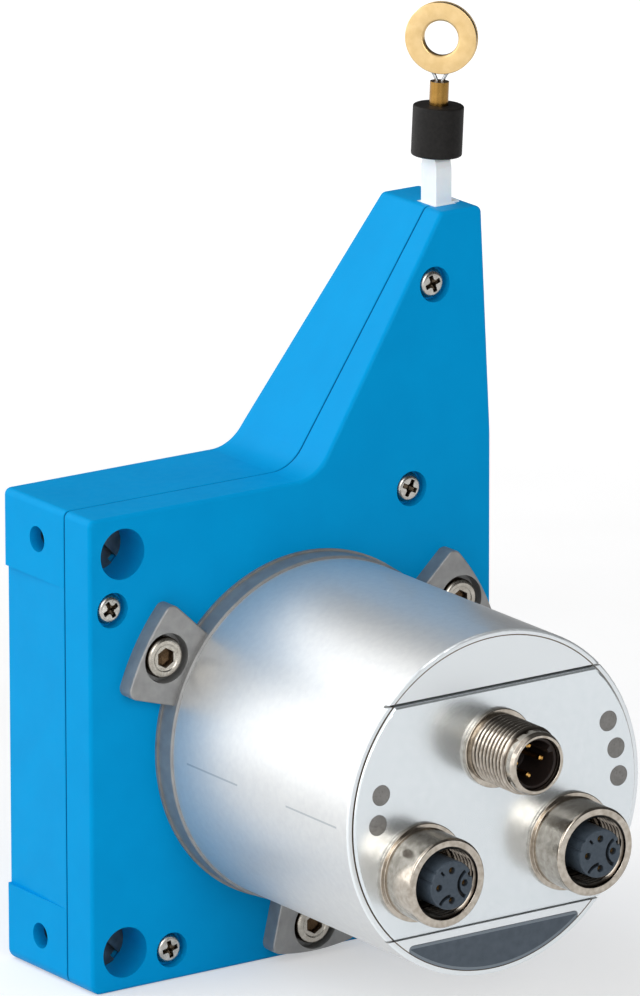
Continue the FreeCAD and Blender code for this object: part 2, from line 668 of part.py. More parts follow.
def spring_case():
    """Cup that holds the spiral spring, open towards the drum."""
    cup = cyl_y(CASE_RADIUS, SPRING_CASE_Y, INNER_BACK_Y)
    cup = cup.cut(cyl_y(CASE_BORE_RADIUS, SPRING_CASE_Y - OVERCUT, CASE_FLOOR_Y))
    boss = REAR_BEARING_RADIUS + BEARING_BOSS_WALL + REST_GAP
    return cup.cut(cyl_y(boss, CASE_FLOOR_Y - OVERCUT, INNER_BACK_Y + OVERCUT))


def spring_cover():
    """Steel plate that closes the spring's case."""
    return ring_y(CASE_RADIUS, ARBOR_RADIUS + REST_GAP, SPRING_COVER_Y, SPRING_CASE_Y)


def spiral_spring():
    """Flat steel strip wound as a spiral: half circles about two centres in turn."""
    y0 = SPRING_CASE_Y + REST_GAP
    start = ARBOR_RADIUS + REST_GAP
    growth = (CASE_BORE_RADIUS - REST_GAP - SPRING_STRIP - start) / SPRING_TURNS / 2
    sides, ends = [], []
    for radius in (start, start + SPRING_STRIP):
        here = AXIS_X + radius
        edges = []
        for i in range(2 * SPRING_TURNS):
            reach = radius + i * growth
            way = -1 if i % 2 == 0 else 1
            there = here + 2 * way * reach
            middle = V((here + there) / 2, y0, AXIS_Z - way * reach)
            edges.append(Part.Arc(V(here, y0, AXIS_Z), middle, V(there, y0, AXIS_Z)).toShape())
            here = there
        sides.append(edges)
        ends.append(V(here, y0, AXIS_Z))
    root = [V(AXIS_X + start, y0, AXIS_Z), V(AXIS_X + start + SPRING_STRIP, y0, AXIS_Z)]
    first = Part.LineSegment(root[0], root[1]).toShape()
    last = Part.LineSegment(ends[0], ends[1]).toShape()
    outline = Part.Wire([first] + sides[1] + [last] + sides[0][::-1])
    return Part.Face(outline).extrude(V(0, CASE_FLOOR_Y - REST_GAP - y0, 0))


def nozzle_section(width, depth, z):
    """Rectangle round the draw wire's line at a height."""
    half_x, half_y = width / 2, depth / 2
    corners = [V(WIRE_X - half_x, WIRE_Y - half_y, z), V(WIRE_X + half_x, WIRE_Y - half_y, z),
               V(WIRE_X + half_x, WIRE_Y + half_y, z), V(WIRE_X - half_x, WIRE_Y + half_y, z)]
    return Part.makePolygon(corners + corners[:1])


def wire_nozzle():
    """Square plastic nozzle that guides the wire out of the tower's top."""
    shoulder = NOZZLE_TOP_Z - NOZZLE_TAPER_HEIGHT
    shaft = Part.Face(nozzle_section(NOZZLE_WIDTH, NOZZLE_DEPTH, TOWER_TOP_Z))
    shaft = shaft.extrude(V(0, 0, shoulder - TOWER_TOP_Z))
    wide = nozzle_section(NOZZLE_WIDTH, NOZZLE_DEPTH, shoulder)
    bend_width = NOZZLE_WIDTH - NOZZLE_BEND_SHARE * (NOZZLE_WIDTH - NOZZLE_TOP_SIDE)
    bend_depth = NOZZLE_DEPTH - NOZZLE_BEND_SHARE * (NOZZLE_DEPTH - NOZZLE_TOP_SIDE)
    middle = nozzle_section(bend_width, bend_depth, shoulder + NOZZLE_BEND_HEIGHT * NOZZLE_TAPER_HEIGHT)
    narrow = nozzle_section(NOZZLE_TOP_SIDE, NOZZLE_TOP_SIDE, NOZZLE_TOP_Z)
    tip = [Part.makeLoft([wide, middle], True, True), Part.makeLoft([middle, narrow], True, True)]
    root = Part.Face(nozzle_section(NOZZLE_ROOT_WIDTH, NOZZLE_ROOT_DEPTH, NOZZLE_ROOT_Z))
    root = root.extrude(V(0, 0, NOZZLE_ROOT_LENGTH))
    left, front = WIRE_X - NOZZLE_WIDTH / 2, WIRE_Y - NOZZLE_DEPTH / 2
    lip = box(left, left + NOZZLE_LIP_WIDTH, front, front + NOZZLE_DEPTH, TOWER_TOP_Z,
              TOWER_TOP_Z + NOZZLE_LIP_THICKNESS)
    body = fuse_all([shaft, root, lip] + tip)
    start, seat_end = NOZZLE_ROOT_Z - OVERCUT, NOZZLE_ROOT_Z + WIPER_LENGTH
    bore = cyl_z(NOZZLE_BORE_RADIUS, start, NOZZLE_TOP_Z + OVERCUT, WIRE_X, WIRE_Y)
    seat = cyl_z(WIPER_RADIUS + FIT_GAP, start, seat_end, WIRE_X, WIRE_Y)
    return body.cut([bore, seat])


def wiper():
    """Felt ring in the nozzle's root that wipes the wire clean."""
    ring = cyl_z(WIPER_RADIUS, NOZZLE_ROOT_Z, NOZZLE_ROOT_Z + WIPER_LENGTH, WIRE_X, WIRE_Y)
    hole = WIRE_RADIUS + REST_GAP
    return ring.cut(cyl_z(hole, NOZZLE_ROOT_Z - OVERCUT, NOZZLE_TOP_Z, WIRE_X, WIRE_Y))


def leaned(shape):
    """The wire end as it leans on the nozzle at rest."""
    shape.rotate(V(WIRE_X, WIRE_Y, NOZZLE_TOP_Z), V(0, 1, 0), WIRE_END_LEAN)
    return shape


def stopper():
    """Rubber buffer that meets the nozzle when the wire is drawn in."""
    body = cyl_z(STOPPER_RADIUS, STOPPER_Z, STOPPER_TOP_Z, WIRE_X, WIRE_Y)
    body = body.makeFillet(STOPPER_EDGE, [edge for edge in body.Edges if edge.Closed])
    hole = cyl_z(WIRE_RADIUS + REST_GAP, STOPPER_Z - OVERCUT, STOPPER_TOP_Z + OVERCUT, WIRE_X, WIRE_Y)
    seat = cyl_z(SLEEVE_RADIUS + FIT_GAP, SLEEVE_Z, STOPPER_TOP_Z + OVERCUT, WIRE_X, WIRE_Y)
    return leaned(body.cut([hole, seat]))


def crimp_sleeve():
    """Brass sleeve crimped over the wire and the end of its loop."""
    sleeve = cyl_z(SLEEVE_RADIUS, SLEEVE_Z, SLEEVE_TOP_Z, WIRE_X, WIRE_Y)
    hole = cyl_z(WIRE_RADIUS + FIT_GAP, SLEEVE_Z - OVERCUT, SLEEVE_TOP_Z + OVERCUT, WIRE_X, WIRE_Y)
    return leaned(sleeve.cut(hole))


def faced(shape):
    """Turn the eye or its loop about the wire's line from facing the front."""
    shape.rotate(V(WIRE_X, WIRE_Y, 0), V(0, 0, 1), EYE_TURN)
    return leaned(shape)


def eye_ring():
    """Brass thimble ring with a groove in its rim for the wire."""
    half = EYE_THICKNESS / 2
    groove = EYE_GROOVE_WIDTH / 2
    floor = EYE_RADIUS - EYE_GROOVE_DEPTH
    profile = [(EYE_HOLE_RADIUS, WIRE_Y - half), (EYE_RADIUS, WIRE_Y - half), (EYE_RADIUS, WIRE_Y - groove),
               (floor, WIRE_Y - groove), (floor, WIRE_Y + groove), (EYE_RADIUS, WIRE_Y + groove),
               (EYE_RADIUS, WIRE_Y + half), (EYE_HOLE_RADIUS, WIRE_Y + half)]
    return faced(turned(profile, WIRE_X, EYE_Z))


def wire_loop():
    """Wire bent round the eye's groove, its two legs running down to the sleeve."""
    radius = EYE_RADIUS - EYE_GROOVE_DEPTH + WIRE_RADIUS + FIT_GAP
    spread = WIRE_RADIUS + FIT_GAP
    drop = EYE_Z - SLEEVE_TOP_Z
    angle = math.atan(spread / drop) + math.acos(radius / math.hypot(spread, drop))
    feet, touch = [], []
    for side in (-1, 1):
        feet.append(V(WIRE_X + side * spread, WIRE_Y, SLEEVE_TOP_Z))
        touch.append(V(WIRE_X + side * radius * math.sin(angle), WIRE_Y, EYE_Z - radius * math.cos(angle)))
    path = Part.Wire([Part.LineSegment(feet[0], touch[0]).toShape(),
                      Part.Arc(touch[0], V(WIRE_X, WIRE_Y, EYE_Z + radius), touch[1]).toShape(),
                      Part.LineSegment(touch[1], feet[1]).toShape()])
    section = Part.Wire(Part.makeCircle(WIRE_RADIUS, feet[0], touch[0] - feet[0]))
    loop = path.makePipeShell([section], True, False)
    return faced(loop.cut(box(0, BODY_WIDTH, FRONT_Y, BACK_Y, 0, SLEEVE_TOP_Z)))


def draw_wire():
    """Wire from where it leaves the winding straight up through the nozzle into the sleeve."""
    reach = math.sqrt((DRUM_PITCH_RADIUS + WIRE_RADIUS) ** 2 - DRUM_SURFACE_RADIUS ** 2)
    start = AXIS_Z + reach + REST_GAP
    run = cyl_z(WIRE_RADIUS, start, NOZZLE_TOP_Z, WIRE_X, WIRE_Y)
    end = leaned(cyl_z(WIRE_RADIUS, NOZZLE_TOP_Z, SLEEVE_TOP_Z - FIT_GAP, WIRE_X, WIRE_Y))
    knee = Part.makeSphere(WIRE_RADIUS, V(WIRE_X, WIRE_Y, NOZZLE_TOP_Z))
    return fuse_all([run, knee, end])


def lug(angle):
    """One lug: a sector of a disc about the encoder's axis with rounded outer corners."""
    inner = CAN_RADIUS - COLLAR_THICKNESS

    def spot(radius, turn):
        x, z = polar(radius, angle + turn)
        return V(x, LUG_FRONT_Y, z)
    low, high = -LUG_HALF_ANGLE, LUG_HALF_ANGLE
    edges = [Part.LineSegment(spot(inner, low), spot(LUG_RADIUS, low)).toShape(),
             Part.Arc(spot(LUG_RADIUS, low), spot(LUG_RADIUS, 0), spot(LUG_RADIUS, high)).toShape(),
             Part.LineSegment(spot(LUG_RADIUS, high), spot(inner, high)).toShape(),
             Part.LineSegment(spot(inner, high), spot(inner, low)).toShape()]
    plate = Part.Face(Part.Wire(edges)).extrude(V(0, LUG_THICKNESS, 0))
    corners = []
    for edge in plate.Edges:
        middle = edge.CenterOfMass
        far = math.hypot(middle.x - AXIS_X, middle.z - AXIS_Z) > LUG_RADIUS - SAME_PLACE
        if far and abs(edge.Length - LUG_THICKNESS) < SAME_PLACE:
            corners.append(edge)
    plate = plate.makeFillet(LUG_CORNER, corners)
    front = []
    for edge in plate.Edges:
        middle = edge.CenterOfMass
        on_front = all(abs(vertex.Point.y - LUG_FRONT_Y) < SAME_PLACE for vertex in edge.Vertexes)
        if on_front and math.hypot(middle.x - AXIS_X, middle.z - AXIS_Z) > CAN_RADIUS:
            front.append(edge)
    return plate.makeFillet(LUG_EDGE, front)


def mounting_collar():
    """Die-cast collar: disc and spigot in one with three counterbored lugs."""
    front, edge = COLLAR_FRONT_Y, COLLAR_RADIUS - COLLAR_EDGE
    foot, foot_y = COLLAR_RADIUS + COLLAR_FOOT_STEP, FRONT_Y - COLLAR_FOOT_HEIGHT
    profile = [(COLLAR_BORE_RADIUS, front), (edge, front), (COLLAR_RADIUS, front + COLLAR_EDGE),
               (COLLAR_RADIUS, foot_y), (foot, foot_y), (foot, FRONT_Y), (SPIGOT_RADIUS, FRONT_Y),
               (SPIGOT_RADIUS, FRONT_Y + SPIGOT_LENGTH),
               (COLLAR_BORE_RADIUS, FRONT_Y + SPIGOT_LENGTH)]
    collar = turned(profile).fuse([lug(angle) for angle in LUG_ANGLES])
    cuts = []
    for angle in LUG_ANGLES:
        x, z = polar(LUG_BOLT_CIRCLE, angle)
        cuts.append(cyl_y(COUNTERBORE_RADIUS, COLLAR_FRONT_Y - OVERCUT, CAP_SEAT_Y, x, z))
        cuts.append(cyl_y(CAP_HOLE_RADIUS, LUG_FRONT_Y, FRONT_Y + OVERCUT, x, z))
    return collar.cut(cuts)


def collar_screws():
    """Three low head socket screws that hold the collar to the front cover."""
    screws = []
    top = LUG_FRONT_Y + CAP_SINK
    for angle in LUG_ANGLES:
        x, z = polar(LUG_BOLT_CIRCLE, angle)
        head = cyl_y(CAP_HEAD_RADIUS, top, CAP_SEAT_Y, x, z)
        head = head.makeChamfer(CAP_CHAMFER, rim_at(head, top))
        corners = [polar(CAP_HEX / math.sqrt(3), 60.0 * i + angle, x, z) for i in range(6)]
        points = [V(cx, top - OVERCUT, cz) for cx, cz in corners]
        outline = Part.Face(Part.makePolygon(points + points[:1]))
        hexagon = outline.extrude(V(0, OVERCUT + CAP_HEX_DEPTH, 0))
        shank = cyl_y(CAP_SHANK_RADIUS, CAP_SEAT_Y, INNER_FRONT_Y - REST_GAP, x, z)
        screws.append(head.cut(hexagon).fuse(shank))
    return screws


def encoder_flange():
    """Aluminium flange inside the can, with the boss that holds both shaft bearings."""
    bore = ENCODER_BEARING_RADIUS + FIT_GAP
    groove = FLANGE_RADIUS - SEAL_GROOVE
    low, high = SEAL_Y - SEAL_GROOVE, SEAL_Y + SEAL_GROOVE
    profile = [(bore, COLLAR_FRONT_Y), (FLANGE_RADIUS, COLLAR_FRONT_Y), (FLANGE_RADIUS, high),
               (groove, high), (groove, low), (FLANGE_RADIUS, low), (FLANGE_RADIUS, FLANGE_FRONT_Y),
               (FLANGE_BOSS_RADIUS, FLANGE_FRONT_Y), (FLANGE_BOSS_RADIUS, FAR_BEARING_Y),
               (bore, FAR_BEARING_Y)]
    return turned(profile)


def can_seal():
    """O-ring between the flange's groove and the can."""
    groove = FLANGE_RADIUS - SEAL_GROOVE
    section = (CAN_BORE_RADIUS - groove) / 2
    return Part.makeTorus(groove + section, section - FIT_GAP, V(AXIS_X, SEAL_Y, AXIS_Z), V(0, 1, 0))


def encoder_shaft():
    """Steel shaft from the drum's hub through both bearings to the code disc."""
    shaft = cyl_y(SHAFT_RADIUS, DISC_Y - DISC_THICKNESS - REST_GAP, HUB_BORE_Y - REST_GAP)
    return shaft.fuse(cyl_y(DISC_HUB_RADIUS, DISC_Y, FAR_BEARING_Y - REST_GAP))


def code_disc():
    """Glass code disc on the shaft's hub."""
    return ring_y(DISC_RADIUS, SHAFT_RADIUS + FIT_GAP, DISC_Y - DISC_THICKNESS, DISC_Y)


def sensor_board():
    """Circuit board with the optical scanner, past the code disc."""
    return ring_y(BOARD_RADIUS, SENSOR_HOLE_RADIUS, SENSOR_Y - BOARD_THICKNESS, SENSOR_Y)


def main_board():
    """Circuit board behind the connectors."""
    return cyl_y(BOARD_RADIUS, MAIN_Y, MAIN_Y + BOARD_THICKNESS)


def board_posts():
    """Spacers in line: flange to sensor board, on to the main board, on to the plate."""
    posts = []
    for angle in POST_ANGLES:
        x, z = polar(POST_REACH, angle)
        posts.append(cyl_y(POST_RADIUS, SENSOR_Y, FLANGE_FRONT_Y, x, z))
        posts.append(cyl_y(POST_RADIUS, MAIN_Y + BOARD_THICKNESS, SENSOR_Y - BOARD_THICKNESS, x, z))
        posts.append(cyl_y(POST_RADIUS, PLATE_BACK_Y, MAIN_Y, x, z))
    return posts


def label_shape(gap, y0, y1):
    """Segment below the plate with rounded corners, shrunk by a gap."""
    radius = PANEL_RADIUS - gap
    drop = PANEL_CHORD + gap
    reach = math.sqrt(radius * radius - drop * drop)
    left, right = V(AXIS_X - reach, y0, AXIS_Z - drop), V(AXIS_X + reach, y0, AXIS_Z - drop)
    arc = Part.Arc(left, V(AXIS_X, y0, AXIS_Z - radius), right).toShape()
    outline = Part.Wire([Part.LineSegment(right, left).toShape(), arc])
    panel = Part.Face(outline).extrude(V(0, y1 - y0, 0))
    upright = [edge for edge in panel.Edges if abs(edge.Length - (y1 - y0)) < SAME_PLACE]
    return panel.makeFillet(PANEL_CORNER - gap, upright)


def encoder_can():
    """Drawn can over the encoder: its end wall keeps only the parts above and below the plate."""
    can = cyl_y(CAN_RADIUS, CAN_END_Y, COLLAR_FRONT_Y)
    can = can.makeFillet(CAN_END_EDGE, rim_at(can, CAN_END_Y))
    can = can.cut(cyl_y(CAN_BORE_RADIUS, CAN_END_Y + CAN_END_WALL, COLLAR_FRONT_Y + OVERCUT))
    band = cyl_y(PLATE_RADIUS + FIT_GAP, CAN_END_Y - OVERCUT, PLATE_BACK_Y)
    low, high = AXIS_Z - CHORD, AXIS_Z + CHORD
    band = band.common(box(0, 2 * AXIS_X, CAN_END_Y - 2 * OVERCUT, PLATE_BACK_Y + OVERCUT, low, high))
    groove_y = CAN_END_Y + CHORD_GROOVE_DEPTH
    grooves = [box(0, 2 * AXIS_X, CAN_END_Y - OVERCUT, groove_y, low, low + CHORD_GAP),
               box(0, 2 * AXIS_X, CAN_END_Y - OVERCUT, groove_y, high - CHORD_GAP, high)]
    return can.cut([band, label_shape(0, CAN_END_Y - OVERCUT, CAN_END_Y + PANEL_THICKNESS)] + grooves)


def label_panel():
    """Bare slate coloured panel let into the can's lower segment."""
    return label_shape(2 * FIT_GAP, CAN_END_Y, CAN_END_Y + PANEL_THICKNESS)


def lamp_places():
    """Places of the signal lamps on the plate."""
    right = [(AXIS_X + math.sqrt(RIGHT_LAMP_REACH ** 2 - z * z), AXIS_Z + z) for z in RIGHT_LAMP_HEIGHTS]
    left = [(AXIS_X - math.sqrt(LEFT_LAMP_REACH ** 2 - z * z), AXIS_Z + z) for z in LEFT_LAMP_HEIGHTS]
    return right + left


def on_plate(place):
    """Place on the plate from its distances to the encoder's axis."""
    return AXIS_X + place[0], AXIS_Z + place[1]


def connector_plate():
    """Plate across the can's end, with holes for the connectors and lamps."""
    plate = cyl_y(PLATE_RADIUS, PLATE_FRONT_Y, PLATE_BACK_Y)
    low, high = AXIS_Z - CHORD + CHORD_GAP, AXIS_Z + CHORD - CHORD_GAP
    plate = plate.common(box(0, 2 * AXIS_X, PLATE_FRONT_Y - OVERCUT, PLATE_BACK_Y + OVERCUT, low, high))
    front = [edge for edge in plate.Edges
             if all(abs(vertex.Point.y - PLATE_FRONT_Y) < SAME_PLACE for vertex in edge.Vertexes)]
    plate = plate.makeFillet(PLATE_EDGE, front)
    holes = []
    for place in [POWER_PLACE] + DATA_PLACES:
        x, z = on_plate(place)
        holes.append(cyl_y(STEM_RADIUS + FIT_GAP, PLATE_FRONT_Y - OVERCUT, PLATE_BACK_Y + OVERCUT, x, z))
    for x, z in lamp_places():
        holes.append(cyl_y(LAMP_RADIUS + FIT_GAP, PLATE_FRONT_Y - OVERCUT, PLATE_BACK_Y + OVERCUT, x, z))
    return plate.cut(holes)


def signal_lamps():
    """Five grey lamp windows set flush in the plate."""
    return [cyl_y(LAMP_RADIUS, PLATE_FRONT_Y, PLATE_FRONT_Y + LAMP_DEPTH, x, z) for x, z in lamp_places()]


def contact_places(x, z, turn):
    """Four contact places on the connector's circle."""
    return [polar(PIN_REACH, turn + 90.0 * i, x, z) for i in range(4)]


def power_shell():
    """Nickel plated nipple with outside thread and a cup round the pins."""
    x, z = on_plate(POWER_PLACE)
    base = PLATE_FRONT_Y - POWER_BASE_LENGTH
    neck = POWER_TIP_Y + POWER_TIP_LENGTH
    thread = neck + POWER_NECK_LENGTH
    profile = [(POWER_CUP_RADIUS, POWER_TIP_Y), (POWER_TIP_RADIUS, POWER_TIP_Y), (POWER_NECK_RADIUS, neck),
               (POWER_NECK_RADIUS, thread), (POWER_RADIUS, thread + POWER_RADIUS - POWER_NECK_RADIUS),
               (POWER_RADIUS, base), (POWER_BASE_RADIUS, base), (POWER_BASE_RADIUS, PLATE_FRONT_Y),
               (STEM_RADIUS, PLATE_FRONT_Y), (STEM_RADIUS, STEM_END_Y), (POWER_CUP_RADIUS, STEM_END_Y)]
    return turned(profile, x, z)


def power_insert():
    """Black insert that fills the nipple behind the cup and holds the pins."""
    x, z = on_plate(POWER_PLACE)
    insert = cyl_y(POWER_CUP_RADIUS - FIT_GAP, POWER_FLOOR_Y, STEM_END_Y, x, z)
    start, end = POWER_FLOOR_Y - OVERCUT, POWER_FLOOR_Y + CONTACT_DEPTH
    places = contact_places(x, z, PIN_TURN)
    return insert.cut([cyl_y(PIN_RADIUS + FIT_GAP, start, end, px, pz) for px, pz in places])


def power_pins():
    """Four gold plated pins."""
    x, z = on_plate(POWER_PLACE)
    tip = POWER_FLOOR_Y - PIN_LENGTH
    pins = []
    for px, pz in contact_places(x, z, PIN_TURN):
        pin = cyl_y(PIN_RADIUS, tip, POWER_FLOOR_Y + CONTACT_DEPTH, px, pz)
        pins.append(pin.makeChamfer(PIN_NOSE, rim_at(pin, tip)))
    return pins


def data_shells():
    """Two nickel plated sockets with an inside thread."""
    bore, seat = DATA_BORE_RADIUS, INSERT_RADIUS + FIT_GAP
    base = PLATE_FRONT_Y - DATA_BASE_LENGTH
    mouth = DATA_MOUTH_CHAMFER
    profile = [(bore, DATA_TIP_Y + mouth), (bore + mouth, DATA_TIP_Y), (DATA_RADIUS - DATA_EDGE, DATA_TIP_Y),
               (DATA_RADIUS, DATA_TIP_Y + DATA_EDGE), (DATA_RADIUS, base), (DATA_BASE_RADIUS, base),
               (DATA_BASE_RADIUS, PLATE_FRONT_Y),
               (STEM_RADIUS, PLATE_FRONT_Y), (STEM_RADIUS, STEM_END_Y), (seat, STEM_END_Y),
               (seat, PLATE_FRONT_Y - DATA_FLOOR), (bore, PLATE_FRONT_Y - DATA_FLOOR)]
    return [turned(profile, *on_plate(place)) for place in DATA_PLACES]


def data_inserts():
    """Two dark inserts with a key groove and four contact holes each."""
    inserts = []
    start, end = INSERT_FACE_Y - OVERCUT, INSERT_FACE_Y + CONTACT_DEPTH
    for place in DATA_PLACES:
        x, z = on_plate(place)
        insert = cyl_y(INSERT_RADIUS, INSERT_FACE_Y, STEM_END_Y, x, z)
        insert = insert.makeFillet(INSERT_EDGE, rim_at(insert, INSERT_FACE_Y))
        kx, kz = polar(INSERT_RADIUS, KEY_TURN, x, z)
        cuts = [cyl_y(KEY_RADIUS, start, PLATE_FRONT_Y, kx, kz)]
        for px, pz in contact_places(x, z, CONTACT_TURN):
            cuts.append(cyl_y(CONTACT_HOLE_RADIUS, start, end, px, pz))
        inserts.append(insert.cut(cuts))
    return inserts


def data_contacts():
    """Eight socket contacts at the bottom of the inserts' holes."""
    contacts = []
    y0, y1 = INSERT_FACE_Y + CONTACT_SINK, INSERT_FACE_Y + CONTACT_DEPTH
    for place in DATA_PLACES:
        for px, pz in contact_places(*on_plate(place), CONTACT_TURN):
            contacts.append(ring_y(CONTACT_RADIUS, CONTACT_BORE_RADIUS, y0, y1, px, pz))
    return contacts


def save(name, shape):
    """Write one node and report its solids."""
    solids = shape if isinstance(shape, list) else [shape]
    whole = []
    for solid in solids:
        whole += solid.Solids
    for solid in whole:
        if not solid.isValid():
            print("INVALID", name)
    shape = Part.makeCompound(whole) if len(whole) > 1 else whole[0]
    shape.exportStep("parts/" + name + ".step")
    extent = shape.BoundBox
    print("%-18s %2d solids %9.1f mm3  x %.1f..%.1f y %.1f..%.1f z %.1f..%.1f" % (
        name, len(whole), shape.Volume, extent.XMin, extent.XMax, extent.YMin, extent.YMax,
        extent.ZMin, extent.ZMax))


def bearings():
    """Inner and outer rings of the rear bearing and of the encoder's two bearings."""
    rear_in, rear_out = race_pair(JOURNAL_RADIUS, REAR_BEARING_RADIUS, JOURNAL_Y,
                                  JOURNAL_Y + REAR_BEARING_WIDTH)
    near_in, near_out = race_pair(SHAFT_RADIUS, ENCODER_BEARING_RADIUS, NEAR_BEARING_Y,
                                  NEAR_BEARING_Y + ENCODER_BEARING_WIDTH)
    far_in, far_out = race_pair(SHAFT_RADIUS, ENCODER_BEARING_RADIUS, FAR_BEARING_Y,
                                FAR_BEARING_Y + ENCODER_BEARING_WIDTH)
    return rear_in, rear_out, [near_in, far_in], [near_out, far_out]


os.makedirs("parts", exist_ok=True)
rear_in, rear_out, encoder_in, encoder_out = bearings()
save("front_cover", front_cover())
save("rear_shell", rear_shell())
save("housing_screws", housing_screws())
save("barrel_nuts", barrel_nuts())
save("wire_drum", wire_drum())
save("wire_winding", wire_winding())
save("drum_shaft", drum_shaft())
save("rear_bearing_inner", rear_in)
save("rear_bearing_outer", rear_out)
save("spring_case", spring_case())
save("spring_cover", spring_cover())
save("spiral_spring", spiral_spring())
save("wire_nozzle", wire_nozzle())
save("wiper", wiper())
save("stopper", stopper())
save("crimp_sleeve", crimp_sleeve())
save("eye_ring", eye_ring())
save("wire_loop", wire_loop())
save("draw_wire", draw_wire())
save("mounting_collar", mounting_collar())
save("collar_screws", collar_screws())
save("encoder_flange", encoder_flange())
save("can_seal", can_seal())
save("encoder_bearings_inner", encoder_in)
save("encoder_bearings_outer", encoder_out)
save("encoder_shaft", encoder_shaft())
save("code_disc", code_disc())
save("sensor_board", sensor_board())
save("main_board", main_board())
save("board_posts", board_posts())
save("encoder_can", encoder_can())
save("label_panel", label_panel())
save("connector_plate", connector_plate())
save("signal_lamps", signal_lamps())
save("power_shell", power_shell())
save("power_insert", power_insert())
save("power_pins", power_pins())
save("data_shells", data_shells())
save("data_inserts", data_inserts())
save("data_contacts", data_contacts())
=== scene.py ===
import math

import bmesh
import bpy
import numpy as np
from mathutils import Matrix, Vector


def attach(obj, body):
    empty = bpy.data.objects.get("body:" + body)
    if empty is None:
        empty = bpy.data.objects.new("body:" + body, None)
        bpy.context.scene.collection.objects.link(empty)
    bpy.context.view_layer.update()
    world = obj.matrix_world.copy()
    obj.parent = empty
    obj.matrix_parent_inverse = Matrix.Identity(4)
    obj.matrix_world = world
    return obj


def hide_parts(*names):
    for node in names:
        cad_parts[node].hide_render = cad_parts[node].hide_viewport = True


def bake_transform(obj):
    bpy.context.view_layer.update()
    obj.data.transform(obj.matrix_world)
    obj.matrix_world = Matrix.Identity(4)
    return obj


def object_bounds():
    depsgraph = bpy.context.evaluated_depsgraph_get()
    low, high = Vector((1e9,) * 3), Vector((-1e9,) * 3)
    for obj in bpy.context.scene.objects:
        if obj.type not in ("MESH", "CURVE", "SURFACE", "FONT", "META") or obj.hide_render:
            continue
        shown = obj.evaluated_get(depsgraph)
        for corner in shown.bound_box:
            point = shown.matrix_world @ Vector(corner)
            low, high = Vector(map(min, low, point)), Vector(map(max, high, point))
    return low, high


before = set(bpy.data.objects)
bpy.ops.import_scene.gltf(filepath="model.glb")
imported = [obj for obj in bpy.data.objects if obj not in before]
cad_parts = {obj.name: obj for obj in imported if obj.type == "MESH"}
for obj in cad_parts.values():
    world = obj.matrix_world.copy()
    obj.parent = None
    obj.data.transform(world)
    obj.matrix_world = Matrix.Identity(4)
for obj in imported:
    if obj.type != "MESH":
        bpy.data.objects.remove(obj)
cad_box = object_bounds()

# Housing shells: glass-filled polyamide in signal blue, injection moulded in polished tools. The
# front shell carries the leaning tower face, the rear shell the mounting pads, and a fine groove
# runs round where the two meet.
mm = 0.001
SHELL_GROOVE_Y, SHELL_GROOVE_HALF = -8.35, 0.2


def linear(code):
    """sRGB hex to linear light: a straight toe below 0.04045, a 2.4 power above it."""
    c = np.array([int(code[i:i + 2], 16) for i in (1, 3, 5)]) / 255
    return (*np.where(c <= 0.04045, c / 12.92, ((c + 0.055) / 1.055) ** 2.4), 1.0)


def add(tree, kind, inputs=(), **settings):
    """Adds a node: settings on the node itself, inputs as values or as sockets to link from."""
    node = tree.nodes.new("ShaderNode" + kind)
    for key, value in settings.items():
        setattr(node, key, value)
    for key, value in dict(inputs).items():
        if isinstance(value, bpy.types.NodeSocket):
            tree.links.new(value, node.inputs[key])
        else:
            node.inputs[key].default_value = value
    return node


def finish(name, dark, light, patch, grit, height, roughness, stretch=(1, 1, 1), **sockets):
    """Material whose colour drifts between two hex values over patches of so many mm, with grains
    of grit mm that stand height mm proud and carry the roughness up and down by a sixth."""
    made = bpy.data.materials.new(name)
    made.use_nodes = True
    tree = made.node_tree
    shader = tree.nodes["Principled BSDF"]
    for key, value in sockets.items():
        shader.inputs[key.replace("_", " ")].default_value = value
    place = add(tree, "TexCoord").outputs["Object"]
    patches = add(tree, "TexNoise", {"Vector": place, "Scale": 1 / (patch * mm), "Detail": 2.0})
    along = add(tree, "Mapping", {"Vector": place, "Scale": stretch})
    grains = add(tree, "TexNoise", {"Vector": along.outputs[0], "Scale": 1 / (grit * mm),
                                    "Detail": 2.0})
    colour = add(tree, "ValToRGB", {"Fac": patches.outputs[0]})
    ramp = colour.color_ramp.elements
    ramp[0].color, ramp[1].color = linear(dark), linear(light)
    ramp[0].position, ramp[1].position = 0.3, 0.7
    polish = add(tree, "MapRange", {"Value": grains.outputs[0], "From Min": 0.25, "From Max": 0.75,
                                    "To Min": roughness * 5 / 6, "To Max": roughness * 7 / 6})
    bump = add(tree, "Bump", {"Height": grains.outputs[0], "Distance": height * mm})
    tree.links.new(colour.outputs[0], shader.inputs["Base Color"])
    tree.links.new(polish.outputs[0], shader.inputs["Roughness"])
    tree.links.new(bump.outputs[0], shader.inputs["Normal"])
    return made


def recolour(material, mask, code):
    """Lays a second colour over a material where a 0 to 1 mask is high."""
    tree = material.node_tree
    shader = tree.nodes["Principled BSDF"]
    under = shader.inputs["Base Color"].links[0].from_socket
    mix = add(tree, "Mix", {"Factor": mask, 6: under, 7: linear(code)}, data_type="RGBA")
    tree.links.new(mix.outputs[2], shader.inputs["Base Color"])


def dress(material, *nodes):
    """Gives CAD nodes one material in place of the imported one."""
    for node in nodes:
        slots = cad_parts[node].data.materials
        slots.clear()
        slots.append(material)


# A moulded plastic from a polished tool: even blue, a broad soft gloss and slight orange peel.
moulded_blue = finish("moulded_polyamide_blue", "#0096D6", "#009ADA", 9.0, 1.6, 0.008, 0.38,
                      IOR=1.53, Specular_IOR_Level=0.03)
